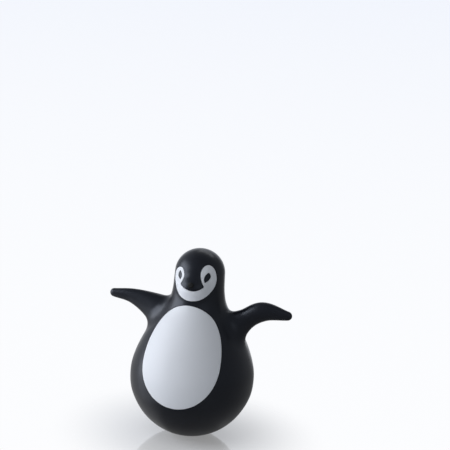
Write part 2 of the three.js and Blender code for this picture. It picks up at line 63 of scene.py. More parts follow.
# Side outline of body and neck: shares of body radius and height, from the foot up
SIDE = [
    (0, 0),
    (0.32, 0.0188),
    (0.587, 0.0635),
    (0.8105, 0.1363),
    (0.9667, 0.2355),
    (1, 0.3346),
    (0.951, 0.4214),
    (0.8274, 0.5205),
    (0.6498, 0.6197),
    (0.484, 0.7),
    (0.4186, 0.7744),
]

# Wings in mm: reach from the middle, centre line above the shoulder, radius
RIGHT_WING = [(39.7, -34.8, 38.7), (73.4, -14, 23.4), (110.9, -1.3, 12.8), (145.7, 0, 7.3)]
LEFT_WING = [(39.7, -50.3, 38.2), (79.3, -14.7, 18.7), (111.8, 6.2, 15.9), (152.8, 5.5, 7.6)]

# Places on the front of the head: shares of the head's radius from its centre
SMILE = [
    (-0.4813, -0.2801),
    (-0.374, -0.345),
    (-0.22, -0.412),
    (-0.05, -0.458),
    (0.1062, -0.4717),
    (0.24, -0.445),
    (0.37, -0.388),
    (0.4622, -0.3235),
    (0.503, -0.2789),
]
MASK_EDGE = [
    (0.503, -0.2789),
    (0.4, -0.12),
    (0.315, 0.05),
    (0.29, 0.23),
    (0.325, 0.395),
    (0.41, 0.5),
    (0.515, 0.527),
    (0.63, 0.48),
    (0.74, 0.36),
    (0.82, 0.17),
    (0.85, -0.06),
    (0.825, -0.27),
    (0.755, -0.455),
    (0.64, -0.63),
    (0.49, -0.765),
    (0.31, -0.86),
    (0.09, -0.905),
    (-0.13, -0.915),
    (-0.34, -0.858),
    (-0.53, -0.74),
    (-0.685, -0.58),
    (-0.79, -0.39),
    (-0.85, -0.2),
    (-0.857, -0.02),
    (-0.81, 0.14),
    (-0.73, 0.25),
    (-0.63, 0.312),
    (-0.53, 0.312),
    (-0.45, 0.255),
    (-0.395, 0.155),
    (-0.375, 0.04),
    (-0.39, -0.07),
    (-0.425, -0.175),
    (-0.4813, -0.2801),
]
RIGHT_EYE = [
    (-0.53, -0.145),
    (-0.645, -0.09),
    (-0.672, 0.01),
    (-0.607, 0.175),
    (-0.535, 0.13),
    (-0.488, -0.005),
]
LEFT_EYE = [
    (0.495, -0.141),
    (0.438, 0.002),
    (0.475, 0.15),
    (0.575, 0.247),
    (0.657, 0.115),
    (0.61, -0.035),
]
MASK_PEGS = [(0.0121, -0.69), (-0.6311, -0.4248), (0.7039, -0.4126), (0.5704, 0.385), (-0.755, -0.07)]


def length(name, default, text):
    """A length that a user may change, in metres."""
    return bpy.props.FloatProperty(
        name=name, description=text, default=default * MM, unit="LENGTH", precision=4
    )


def colour(name, default, text):
    """A colour that a user may change, written as an sRGB hex value."""
    return bpy.props.FloatVectorProperty(
        name=name, description=text, default=linear(default), size=3, min=0, max=1, subtype="COLOR"
    )


def linear(hexes):
    """Linear RGB of an sRGB hex value."""
    shares = [int(hexes[i : i + 2], 16) / 255 for i in (1, 3, 5)]
    return [c / 12.92 if c <= 0.04045 else ((c + 0.055) / 1.055) ** 2.4 for c in shares]


class ToyShape(bpy.types.PropertyGroup):
    """Sizes of the moulded body"""

    height: length("Height", 320, "Foot to crown")
    body_radius: length("Body radius", 103.3, "Widest radius of the round body")
    head_radius: length("Head radius", 41.25, "Widest radius of the head")
    head_rise: length("Head rise", 40.1, "Crown above the head's widest level")
    wing_blend: length("Wing blend", 14, "Width of the soft joint between wing and body")
    wall: length("Wall", 4, "Wall of the hollow shell")
    fit: length("Fit", 0.3, "Clearance between pieces that touch")
    step: length("Mesh step", 2.2, "Mesh width on the body's skin")
    black: colour("Black", "#0c0e15", "Colour of the moulded body")


class ToyFront(bpy.types.PropertyGroup):
    """Sizes of the white pieces and the face"""

    belly_half_width: length("Belly half width", 64.6, "Half the width of the egg-shaped panel")
    belly_level: length("Belly level", 142.8, "Height of the panel's widest place")
    belly_up: length("Belly up", 91.5, "Panel above its widest place")
    belly_down: length("Belly down", 66.5, "Panel below its widest place")
    belly_thickness: length("Belly thickness", 2, "Thickness of the belly panel")
    belly_shelf: length("Belly shelf", 9, "Ledge of the body behind the panel's edge")
    rim_width: length("Rim width", 1.8, "Wall of the rim behind the belly panel")
    rim_depth: length("Rim depth", 9, "How far the rim reaches back")
    hooks: bpy.props.IntProperty(name="Hooks", description="Snap hooks round the rim", default=6, min=1)
    hook_width: length("Hook width", 8, "Width of a snap hook")
    hook_reach: length("Hook reach", 1.2, "How far a snap hook stands out from the rim")
    hook_depth: length("Hook depth", 3, "Depth of a snap hook")
    peg_radius: length("Peg radius", 1.5, "Radius of the locating pegs")
    peg_length: length("Peg length", 9, "How far the pegs reach back")
    mask_thickness: length("Mask thickness", 1.6, "Thickness of the face mask")
    shadow_gap: length("Shadow gap", 0.4, "Open gap round each white piece")
    edge_radius: length("Edge radius", 0.5, "Rounded edge of the white pieces and of the grooves")
    nose_drop: length("Nose drop", 10, "Nose below the head's widest level")
    nose_radius: length("Nose radius", 5, "Radius of the nose button")
    nose_rise: length("Nose rise", 1.6, "How far the nose button is crowned")
    white: colour("White", "#e3e6ea", "Colour of the white pieces")


class ToyBallast(bpy.types.PropertyGroup):
    """Sizes of the weight and its fastening"""

    bolt_radius: length("Bolt radius", 4, "Outer radius of the M8 thread")
    thread_pitch: length("Thread pitch", 1.25, "Pitch of the M8 thread")
    thread_depth: length("Thread depth", 0.77, "Depth of the M8 thread")
    thread_length: length("Thread length", 22, "Threaded part of the bolt")
    head_radius: length("Bolt head radius", 8, "Radius of the bolt's pan head")
    head_thickness: length("Bolt head thickness", 4.4, "Thickness of the bolt's pan head")
    socket_radius: length("Socket radius", 2.9, "Corner radius of the hexagon socket")


class ToyStudio(bpy.types.PropertyGroup):
    """Floor, light and camera"""

    azimuth: bpy.props.FloatProperty(
        name="Azimuth",
        description="Turn of the camera round the toy",
        default=math.radians(14.458),
        subtype="ANGLE",
    )
    elevation: bpy.props.FloatProperty(
        name="Elevation",
        description="Tilt of the camera below the horizon",
        default=math.radians(12.689),
        subtype="ANGLE",
    )
    roll: bpy.props.FloatProperty(
        name="Roll",
        description="Lean of the camera, which shows the toy rocked to one side",
        default=math.radians(4.667),
        subtype="ANGLE",
    )
    distance: length("Distance", 2010.8, "Body centre from the camera along its axis")
    aside: length("Aside", -54.93, "Body centre to the right of the camera's axis")
    above: length("Above", -249.67, "Body centre above the camera's axis")
    aim: length("Aim", 103.1, "Height of the body centre that the camera is placed by")
    lens: bpy.props.FloatProperty(name="Lens", description="Focal length in mm", default=96)
    floor: colour("Floor", "#f4f5f6", "Colour of the floor")


def shape():
    return bpy.context.scene.toy_shape


def front():
    return bpy.context.scene.toy_front


# ---------------------------------------------------------------- skin


def spline(points, steps, extend=False):
    """Even steps along a uniform Catmull-Rom spline through points."""
    p = np.asarray(points, float)
    first, last = (2 * p[0] - p[1], 2 * p[-1] - p[-2]) if extend else (p[0], p[-1])
    p = np.vstack([first, p, last])
    spans = len(p) - 3
    t = np.linspace(0, spans, steps + 1)
    i = np.minimum(t.astype(int), spans - 1)
    w = (t - i)[:, None]
    a, b, c, d = p[i], p[i + 1], p[i + 2], p[i + 3]
    into, out = (c - a) / 2, (d - b) / 2
    return ((2 * b - 2 * c + into + out) * w + (3 * c - 3 * b - 2 * into - out)) * w * w + into * w + b


def side_outline(steps=60):
    """Side outline of body, neck and head as one fine polyline of (radius, height) in mm."""
    s = shape()
    height, head_r = s.height / MM, s.head_radius / MM
    head_z = height - s.head_rise / MM
    knots = [(r * s.body_radius / MM, z * height) for r, z in SIDE]
    knots = [(-knots[1][0], knots[1][1])] + knots + [(head_r, head_z)]
    side = spline(knots, steps * (len(knots) - 1))[steps:]
    a = np.linspace(0, math.pi / 2, 120)[1:]
    dome = np.c_[head_r * np.cos(a), head_z + s.head_rise / MM * np.sin(a)]
    return np.vstack([side, dome])


class Skin:
    """The toy's outer surface as a signed distance in mm, negative inside."""

    cell = 2.0

    def __init__(self):
        s = shape()
        self.height = s.height / MM
        self.body_r = s.body_radius / MM
        self.head_r = s.head_radius / MM
        self.head_z = self.height - s.head_rise / MM
        self.shoulder_z = 0.7 * self.height
        self.wall = s.wall / MM
        self.blend = s.wing_blend / MM
        self.r = np.arange(-8, self.body_r + 90, self.cell)
        self.z = np.arange(-50, self.height + 60, self.cell)
        self.table = self.outline_distance(np.abs(self.r)[:, None] + 0 * self.z, self.z + 0 * self.r[:, None])
        self.wings = [self.wing_line(RIGHT_WING, -1), self.wing_line(LEFT_WING, 1)]

    def outline_distance(self, r, z):
        line = side_outline()
        best = np.full(r.shape, 1e9)
        inside = np.zeros(r.shape, bool)
        for a, b in zip(line[:-1], line[1:]):
            e = b - a
            t = np.clip(((r - a[0]) * e[0] + (z - a[1]) * e[1]) / (e @ e), 0, 1)
            best = np.minimum(best, (r - a[0] - t * e[0]) ** 2 + (z - a[1] - t * e[1]) ** 2)
            if a[1] != b[1]:
                inside ^= ((a[1] <= z) != (b[1] <= z)) & (r < a[0] + (z - a[1]) * e[0] / e[1])
        return np.where(inside, -1, 1) * np.sqrt(best)

    def body(self, r, z):
        """Outline distance, read from the table with smooth cubic steps."""
        u = np.clip((r - self.r[0]) / self.cell, 1, len(self.r) - 2.001)
        v = np.clip((z - self.z[0]) / self.cell, 1, len(self.z) - 2.001)
        i, j = u.astype(int), v.astype(int)
        wu, wv = self.cubic(u - i), self.cubic(v - j)
        total = 0
        for a in range(4):
            row = sum(self.table[i + a - 1, np.minimum(j + b - 1, len(self.z) - 1)] * wv[b] for b in range(4))
            total = total + row * wu[a]
        return total

    @staticmethod
    def cubic(w):
        return (
            ((-w + 2) * w - 1) * w / 2,
            ((3 * w - 5) * w * w + 2) / 2,
            ((-3 * w + 4) * w + 1) * w / 2,
            (w - 1) * w * w / 2,
        )

    flatness = 1.45

    def wing_line(self, stations, side):
        centre = [(side * x, -min(i, 2), self.shoulder_z + z) for i, (x, z, _) in enumerate(stations)]
        radius = spline([(i, r) for i, (_, _, r) in enumerate(stations)], 96, extend=True)[:, 1]
        return spline(centre, 96, extend=True) * (1, self.flatness, 1), radius

    def wing(self, p, line):
        """Distance to a curved cone with a round end, flattened front to back."""
        centre, radius = line
        q = p * (1, self.flatness, 1)
        best = np.full(len(p), 1e9)
        for a, b, ra, rb in zip(centre[:-1], centre[1:], radius[:-1], radius[1:]):
            e = b - a
            size = math.sqrt(e @ e)
            along = (q - a) @ e / size**2
            off = np.linalg.norm(q - a - along[:, None] * e, axis=1)
            slope = min(max((ra - rb) / size, -0.95), 0.95)
            t = np.clip(along + off * slope / math.sqrt(1 - slope * slope) / size, 0, 1)
            v = q - a - t[:, None] * e
            far = np.maximum(np.linalg.norm(v, axis=1), 1e-9)
            stretch = np.linalg.norm(v * (1, self.flatness, 1), axis=1) / far
            best = np.minimum(best, (far - ra - (rb - ra) * t) / np.maximum(stretch, 1e-9))
        return best

    def muzzle(self, p):
        size = np.array((24, 18, 19))
        q = (p - (0, -34, self.head_z - 18)) / size
        near = np.linalg.norm(q, axis=1)
        return near * (near - 1) / np.maximum(np.linalg.norm(q / size, axis=1), 1e-9)

    @staticmethod
    def join(a, b, width):
        h = np.maximum(width - np.abs(a - b), 0) / width
        return np.minimum(a, b) - h * h * width / 4

    def at(self, p):
        d = self.body(np.hypot(p[:, 0], p[:, 1]), p[:, 2])
        for side, line in zip((-1, 1), self.wings):
            near = (p[:, 0] * side > 5) & (p[:, 2] > 90)
            if near.any():
                d[near] = self.join(d[near], self.wing(p[near], line), self.blend)
        near = (p[:, 1] < 5) & (p[:, 2] > self.head_z - 60)
        if near.any():
            d[near] = self.join(d[near], self.muzzle(p[near]), 10)
        return d

    def slope(self, p, step=0.05):
        return np.stack([(self.at(p + e) - self.at(p - e)) / (2 * step) for e in np.eye(3) * step], 1)

    def settle(self, p, level=0.0, rounds=3):
        """Points moved square to the surface until they lie on a level."""
        for _ in range(rounds):
            g = self.slope(p)
            p = p - g * ((self.at(p) - level) / np.maximum((g * g).sum(1), 0.05))[:, None]
        return p

    def lift(self, flat):
        """Points of the front view put on the front of the skin, with their normals."""
        p = np.c_[flat[:, 0], np.full(len(flat), -self.body_r - 20), flat[:, 1]]
        for _ in range(30):
            p[:, 1] += 0.9 * self.at(p)
        n = self.slope(p)
        return p, n / np.linalg.norm(n, axis=1)[:, None]

    def on_head(self, places):
        return np.asarray(places) * self.head_r + (0, self.head_z)


def surface(field, low, high, step, band):
    """Closed quad mesh of the zero level of a field, with the field worked out only near it."""
    count = np.ceil((np.array(high) - low) / (4 * step)).astype(int)
    axes = [low[k] + step * np.arange(4 * count[k] + 1) for k in range(3)]
    coarse = np.stack(np.meshgrid(*[a[::4] for a in axes], indexing="ij"), -1)
    rough = field(coarse.reshape(-1, 3)).reshape(coarse.shape[:3])
    n, m, o = (size - 1 for size in rough.shape)
    offsets = [(i, j, k) for i in (0, 1) for j in (0, 1) for k in (0, 1)]
    corners = [rough[i : i + n, j : j + m, k : k + o] for i, j, k in offsets]
    near = np.min(np.abs(corners), 0) < band
    near |= np.min(corners, 0) * np.max(corners, 0) < 0
    f = np.repeat(np.repeat(np.repeat(corners[0], 4, 0), 4, 1), 4, 2)
    f = np.pad(f, ((0, 1),) * 3, mode="edge")
    mark = np.zeros(f.shape, bool)
    for i, j, k in np.argwhere(near):
        mark[4 * i : 4 * i + 5, 4 * j : 4 * j + 5, 4 * k : 4 * k + 5] = True
    where = np.argwhere(mark)
    f[mark] = field(np.stack([axes[k][where[:, k]] for k in range(3)], 1))
    inside = f < 0
    shape3 = np.array(f.shape)
    total = np.zeros((*(shape3 - 1), 3))
    hits = np.zeros(shape3 - 1)
    crossings = []
    for k in range(3):
        unit = np.eye(3, dtype=int)[k]
        a = inside[tuple(slice(0, n - u) for n, u in zip(shape3, unit))]
        b = inside[tuple(slice(u, None) for u in unit)]
        at = np.argwhere(a != b)
        fa, fb = f[tuple(at.T)], f[tuple((at + unit).T)]
        place = np.stack([axes[m][at[:, m]] for m in range(3)], 1)
        place[:, k] += step * fa / (fa - fb)
        others = [m for m in range(3) if m != k]
        for da in (0, 1):
            for db in (0, 1):
                cell = at.copy()
                cell[:, others[0]] -= da
                cell[:, others[1]] -= db
                np.add.at(total, tuple(cell.T), place)
                np.add.at(hits, tuple(cell.T), 1)
        crossings.append((k, others, at, inside[tuple(at.T)]))
    used = hits > 0
    index = np.full(used.shape, -1)
    index[used] = np.arange(used.sum())
    verts = total[used] / hits[used][:, None]
    faces = []
    for k, (u, v), at, starts_inside in crossings:
        quad = []
        for du, dv in ((1, 1), (0, 1), (0, 0), (1, 0)):
            cell = at.copy()
            cell[:, u] -= du
            cell[:, v] -= dv
            quad.append(index[tuple(cell.T)])
        quad = np.stack(quad, 1)
        flip = starts_inside == (k == 1)
        quad[flip] = quad[flip][:, ::-1]
        faces.append(quad)
    return verts, np.vstack(faces)


# ---------------------------------------------------------------- meshes


def mesh_object(name, verts, faces, material=None):
    """Object of a mesh given in mm; its place is in its vertices."""
    mesh = bpy.data.meshes.new(name)
    mesh.from_pydata((np.asarray(verts) * MM).tolist(), [], [list(map(int, f)) for f in faces])
    weld(mesh)
    made = bpy.data.objects.new(name, mesh)
    bpy.context.scene.collection.objects.link(made)
    if material:
        mesh.materials.append(material)
    return made


def patch(name, verts, faces=()):
    """Object with an open mesh, or with points alone, for a geometry tree to work on."""
    mesh = bpy.data.meshes.new(name)
    mesh.from_pydata((np.asarray(verts) * MM).tolist(), [], [list(map(int, f)) for f in faces])
    obj = bpy.data.objects.new(name, mesh)
    bpy.context.scene.collection.objects.link(obj)
    return obj


def weld(mesh):
    """Merges points that coincide and fills slivers, so that the mesh is closed."""
    work = bmesh.new()
    work.from_mesh(mesh)
    bmesh.ops.remove_doubles(work, verts=work.verts, dist=0.004 * MM)
    if len(work.faces) > 1:
        bmesh.ops.holes_fill(work, edges=[e for e in work.edges if e.is_boundary], sides=4)
    open_edges = sum(len(e.link_faces) != 2 for e in work.edges)
    work.to_mesh(mesh)
    work.free()
    if open_edges and len(mesh.polygons) > 1:
        raise RuntimeError(f"{mesh.name} has {open_edges} open edges")


def evaluated(obj, name):
    """Plain mesh of an object as its modifiers show it, in their place."""
    mesh = bpy.data.meshes.new_from_object(obj.evaluated_get(bpy.context.evaluated_depsgraph_get()))
    obj.modifiers.clear()
    old = obj.data
    obj.data = mesh
    bpy.data.meshes.remove(old)
    mesh.name = name
    return obj


def cut(obj, tools, operation="DIFFERENCE"):
    """Cuts closed tools out of a closed object, or joins them to it, one after another."""
    for tool in tools:
        before = len(obj.data.polygons)
        step = obj.modifiers.new("cut", "BOOLEAN")
        step.operation = operation
        step.solver = "MANIFOLD"
        step.object = tool
        evaluated(obj, obj.name)
        if len(obj.data.polygons) in (0, before):
            raise RuntimeError(f"{tool.name} leaves {obj.name} as it was")
        bpy.data.objects.remove(tool)
    return obj


def polish(obj, skin, crease=38):
    """Smooth shading with crisp edges; on the moulded skin the normals are the surface's own."""
    mesh = obj.data
    mesh.polygons.foreach_set("use_smooth", np.ones(len(mesh.polygons), bool))
    mesh.set_sharp_from_angle(angle=math.radians(crease))
    count = len(mesh.loops)
    normals = np.empty(count * 3)
    mesh.corner_normals.foreach_get("vector", normals)
    normals = normals.reshape(-1, 3)
    co = np.empty(len(mesh.vertices) * 3)
    mesh.vertices.foreach_get("co", co)
    co = co.reshape(-1, 3) / MM
    close = np.abs(skin.at(co)) < 0.035
    own = np.zeros((len(co), 3))
    own[close] = skin.slope(co[close], 1)
    own[close] /= np.linalg.norm(own[close], axis=1)[:, None]
    at = np.empty(count, int)
    mesh.loops.foreach_get("vertex_index", at)
    take = close[at] & ((own[at] * normals).sum(1) > 0.5)
    normals[take] = own[at[take]]
    mesh.normals_split_custom_set(normals.tolist())
    return obj


def finish_piece(obj, node):
    """The piece rides on the one body and stands for its CAD node, which is hidden."""
    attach(obj, "root")
    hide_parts(node)


def smoothed(line, amount, passes):
    """Closed line with its corners eased."""
    for _ in range(passes):
        line = line + amount * (np.roll(line, 1, 0) + np.roll(line, -1, 0) - 2 * line)
    return line


def anticlockwise(line):
    ahead = np.roll(line, -1, 0)
    turn = (line[:, 0] * ahead[:, 1] - ahead[:, 0] * line[:, 1]).sum()
    return line if turn > 0 else line[::-1]


def inset(line, distance):
    """Closed line moved to its left by a distance, without folding over at tight corners."""
    back, ahead = line - np.roll(line, 1, 0), np.roll(line, -1, 0) - line
    back /= np.linalg.norm(back, axis=1)[:, None]
    ahead /= np.linalg.norm(ahead, axis=1)[:, None]
    n = np.c_[-(back + ahead)[:, 1], (back + ahead)[:, 0]]
    n /= np.linalg.norm(n, axis=1)[:, None]
    widen = 1 / np.maximum(n[:, 0] * -ahead[:, 1] + n[:, 1] * ahead[:, 0], 0.6)
    moved = line + n * (distance * widen)[:, None]
    for _ in range(12):
        step = np.roll(moved, -1, 0) - moved
        folded = (step * (np.roll(line, -1, 0) - line)).sum(1) < 0
        if not folded.any():
            break
        middle = moved + step / 2
        moved[folded] = middle[folded]
        moved[np.roll(folded, 1)] = middle[folded]
    return moved


def inside_of(points, line):
    """Which points lie inside a closed line."""
    found = np.zeros(len(points), bool)
    for a, b in zip(line, np.roll(line, -1, 0)):
        if a[1] != b[1]:
            level = (a[1] <= points[:, 1]) != (b[1] <= points[:, 1])
            found ^= level & (points[:, 0] < a[0] + (points[:, 1] - a[1]) * (b[0] - a[0]) / (b[1] - a[1]))
    return found


def clear_of(points, line, gap):
    """Which points are at least a gap from a closed line."""
    a, e = line, np.roll(line, -1, 0) - line
    v = points[:, None] - a
    t = np.clip((v * e).sum(-1) / np.maximum((e * e).sum(-1), 1e-9), 0, 1)
    return np.linalg.norm(v - t[..., None] * e, axis=-1).min(1) > gap


def plate(skin, loops, rows, step):
    """Closed plate that follows the skin. The first loop runs anticlockwise in the front view, holes
    clockwise. Rows of (inset, level) run from the edge of the front face to the edge of the back face."""
    drawn = [[inset(loop, margin) for loop in loops] for margin, _ in rows]
    first = drawn[0]
    low, high = first[0].min(0), first[0].max(0)
    x, z = np.meshgrid(np.arange(low[0], high[0], step), np.arange(low[1], high[1], step * 0.87))
    x[1::2] += step / 2
    seeds = np.c_[x.ravel(), z.ravel()]
    keep = inside_of(seeds, first[0]) & clear_of(seeds, first[0], 0.62 * step)
    for hole in first[1:]:
        keep &= ~inside_of(seeds, hole) & clear_of(seeds, hole, 0.62 * step)
    seeds = seeds[keep]
    edges, start = [], 0
    for loop in first:
        n = len(loop)
        edges += [(start + i, start + (i + 1) % n) for i in range(n)]
        start += n
    flat = np.vstack([*first, seeds])
    out, _, tris, origin, _, _ = delaunay_2d_cdt([Vector(p) for p in flat], edges, [], 0, 1e-7)
    source = np.array([o[0] for o in origin])
    tris = source[np.array([t for t in tris if len(t) == 3])]
    centre = flat[tris].mean(1)
    good = inside_of(centre, first[0])
    for hole in first[1:]:
        good &= ~inside_of(centre, hole)
    tris = tris[good]
    a, b, c = flat[tris[:, 0]], flat[tris[:, 1]], flat[tris[:, 2]]
    turn = (b - a)[:, 0] * (c - a)[:, 1] - (b - a)[:, 1] * (c - a)[:, 0]
    tris[turn < 0] = tris[turn < 0][:, ::-1]
    verts, faces = [], [tuple(t) for t in tris]
    p, n = skin.lift(flat)
    verts.append(p + n * rows[0][1])
    rim, total = len(flat) - len(seeds), len(flat)
    ring = np.arange(rim)
    ahead = np.array([e[1] for e in edges])
    before = ring
    for (margin, level), drawing in zip(rows[1:], drawn[1:]):
        p, n = skin.lift(np.vstack(drawing))
        verts.append(p + n * level)
        now = total + ring
        for i in ring:
            faces.append((before[i], now[i], now[ahead[i]], before[ahead[i]]))
        before = now
        total += rim
    p, n = skin.lift(seeds)
    verts.append(p + n * rows[-1][1])
    back = np.r_[before, total + np.arange(len(seeds))]
    faces += [tuple(back[t][::-1]) for t in tris]
    return np.vstack(verts), faces


def rounded_rows(thickness, radius, rest=0.5):
    """Cross-section of a plate's edge: rounded in front, eased behind."""
    turn = np.linspace(0, math.pi / 2, 5)
    rows = [(radius + rest, 0.0)] + [(radius * (1 - math.sin(a)), radius * (math.cos(a) - 1)) for a in turn]
    return rows + [(0, 0.2 - thickness), (0.2, -thickness)]


def groove_rows(depth, gap, radius):
    """Cross-section of the tool for a groove whose lips are rounded."""
    turn = np.radians([62, 45, 30, 15, 0])
    rows = [(-gap - radius * (1 - math.cos(a)), -radius * (1 - math.sin(a))) for a in turn]
    m, level = rows[0]
    climb = 0.3 - level
    return [(m - climb * 0.6, 0.3)] + rows + [(-gap, -depth)]


def lathe(profile, segments, centre=(0, 0)):
    """Closed solid of revolution about Z, from a profile of (radius, height) that starts and ends
    on the axis."""
    a = np.linspace(0, 2 * math.pi, segments, endpoint=False)
    verts, rings, faces = [], [], []
    for r, z in profile:
        if r == 0:
            rings.append([len(verts)] * segments)
            verts.append((0, 0, z))
        else:
            rings.append(list(range(len(verts), len(verts) + segments)))
            verts += [(r * math.cos(t), r * math.sin(t), z) for t in a]
    for low, high in zip(rings[:-1], rings[1:]):
        for i in range(segments):
            j = (i + 1) % segments
            quad = [low[i], low[j], high[j], high[i]]
            face = [v for k, v in enumerate(quad) if v != quad[k - 1]]
            if len(face) > 2:
                faces.append(face)
    return np.array(verts) + (*centre, 0), faces


def towards_front(verts, x, y, z):
    """A lathed solid turned so that its axis points to the front, its level 0 at (x, y, z)."""
    return np.c_[verts[:, 0] + x, -verts[:, 2] + y, verts[:, 1] + z]


def extruded(line, near, far):
    """Closed prism along Y of a closed line in the front view."""
    n = len(line)
    verts = np.vstack([np.c_[line[:, 0], np.full(n, y), line[:, 1]] for y in (near, far)])
    sides = [(i, n + i, n + (i + 1) % n, (i + 1) % n) for i in range(n)]
    return verts, [tuple(range(n)), tuple(range(2 * n - 1, n - 1, -1)), *sides]


def egg(margin, steps=120):
    f = front()
    a = np.linspace(0, 2 * math.pi, steps, endpoint=False)
    reach = np.where(np.sin(a) > 0, f.belly_up, f.belly_down) / MM - margin
    return np.c_[(f.belly_half_width / MM - margin) * np.cos(a), f.belly_level / MM + reach * np.sin(a)]


def mask_line(skin):
    """Edge of the face mask, anticlockwise in the front view."""
    smile = spline(skin.on_head(SMILE), 36)[:-1]
    edge = spline(skin.on_head(MASK_EDGE), 170)[:-1]
    return anticlockwise(smoothed(np.vstack([smile, edge]), 0.25, 3))


def eye_line(skin, places):
    return anticlockwise(smoothed(spline(skin.on_head([*places, places[0]]), 60)[:-1], 0.25, 4))


# ---------------------------------------------------------------- materials


def add(tree, kind, inputs=(), **settings):
    """Adds a node with its settings; inputs are values, or sockets to link."""
    made = tree.nodes.new(kind)
    for key, value in settings.items():
        setattr(made, key, value)
    for key, value in dict(inputs).items():
        if isinstance(value, bpy.types.NodeSocket):
            tree.links.new(value, made.inputs[key])
        else:
            made.inputs[key].default_value = value
    return made


def new_material(name):
    made = bpy.data.materials.new(name)
    made.use_nodes = True
    made.node_tree.nodes.clear()
    return made, made.node_tree


def moulded_plastic(name, tint, rough, ior, mottle, grain, sheen=(1, 1, 1)):
    """Injection-moulded ABS. The spark-eroded mould leaves a fine even grain, which spreads a
    highlight into a soft sheen; handling leaves slightly glossier and duller patches."""
    made, tree = new_material(name)
    place = add(tree, "ShaderNodeTexCoord").outputs["Object"]
    # patches of handling, about 45 mm across
    patch = add(tree, "ShaderNodeTexNoise", {"Vector": place, "Scale": 22, "Detail": 3, "Roughness": 0.55})
    dull = add(
        tree,
        "ShaderNodeMapRange",
        {
            "Value": patch.outputs["Fac"],
            "From Min": 0.3,
            "From Max": 0.7,
            "To Min": rough - 0.045,
            "To Max": rough + 0.045,
        },
    )
    # the mould's grain is 0.1 mm; it is drawn 0.7 mm wide so that it shows at all
    fine = add(tree, "ShaderNodeTexNoise", {"Vector": place, "Scale": 1400, "Detail": 2, "Roughness": 0.6})
    bump = add(
        tree,
        "ShaderNodeBump",
        {"Height": fine.outputs["Fac"], "Strength": grain, "Distance": 0.00005},
    )
    # flow of the melt leaves a hardly visible drift of the tint, about 90 mm long
    drift = add(tree, "ShaderNodeTexNoise", {"Vector": place, "Scale": 11, "Detail": 2, "Roughness": 0.5})
    mix = add(
        tree,
        "ShaderNodeMix",
        {"Factor": drift.outputs["Fac"], "A": (*tint, 1), "B": (*[min(c * mottle, 1) for c in tint], 1)},
        data_type="RGBA",
    )
    shader = add(
        tree,
        "ShaderNodeBsdfPrincipled",
        {
            "Base Color": mix.outputs["Result"],
            "Roughness": dull.outputs["Result"],
            "IOR": ior,
            "Specular Tint": (*sheen, 1),
            "Normal": bump.outputs["Normal"],
        },
    )
    add(tree, "ShaderNodeOutputMaterial", {"Surface": shader.outputs["BSDF"]})
    return made


def cast_iron():
    """Grey cast iron from a sand mould: a rough, slightly pitted dark skin."""
    made, tree = new_material("sand_cast_iron")
    place = add(tree, "ShaderNodeTexCoord").outputs["Object"]
    sand = add(tree, "ShaderNodeTexNoise", {"Vector": place, "Scale": 900, "Detail": 4, "Roughness": 0.7})
    bump = add(tree, "ShaderNodeBump", {"Height": sand.outputs["Fac"], "Strength": 0.7, "Distance": 0.0003})
    rust = add(tree, "ShaderNodeTexNoise", {"Vector": place, "Scale": 60, "Detail": 5, "Roughness": 0.6})
    tone = add(
        tree,
        "ShaderNodeMix",
        {"Factor": rust.outputs["Fac"], "A": (*linear("#3d3f42"), 1), "B": (*linear("#5a5552"), 1)},
        data_type="RGBA",
    )
    shader = add(
        tree,
        "ShaderNodeBsdfPrincipled",
        {
            "Base Color": tone.outputs["Result"],
            "Metallic": 0.7,
            "Roughness": 0.62,
            "Normal": bump.outputs["Normal"],
        },
    )
    add(tree, "ShaderNodeOutputMaterial", {"Surface": shader.outputs["BSDF"]})
    return made


def zinc_steel():
    """Turned steel with bright zinc plating: fine turning marks, soft bluish spangle."""
    made, tree = new_material("zinc_plated_steel")
    place = add(tree, "ShaderNodeTexCoord").outputs["Object"]
    marks = add(
        tree,
        "ShaderNodeTexWave",
        {"Vector": place, "Scale": 500, "Distortion": 0.6, "Detail": 1},
        wave_type="BANDS",
        bands_direction="Z",
    )
    bump = add(
        tree,
        "ShaderNodeBump",
        {"Height": marks.outputs["Fac"], "Strength": 0.12, "Distance": 0.00005},
    )
    cloud = add(tree, "ShaderNodeTexNoise", {"Vector": place, "Scale": 150, "Detail": 3})
    dull = add(tree, "ShaderNodeMapRange", {"Value": cloud.outputs["Fac"], "To Min": 0.24, "To Max": 0.4})
    tone = add(
        tree,
        "ShaderNodeMix",
        {"Factor": cloud.outputs["Fac"], "A": (*linear("#b4b8bc"), 1), "B": (*linear("#c6cacf"), 1)},
        data_type="RGBA",
    )
    shader = add(
        tree,
        "ShaderNodeBsdfPrincipled",
        {
            "Base Color": tone.outputs["Result"],
            "Metallic": 1.0,
            "Roughness": dull.outputs["Result"],
            "Normal": bump.outputs["Normal"],
        },
    )
    add(tree, "ShaderNodeOutputMaterial", {"Surface": shader.outputs["BSDF"]})
    return made


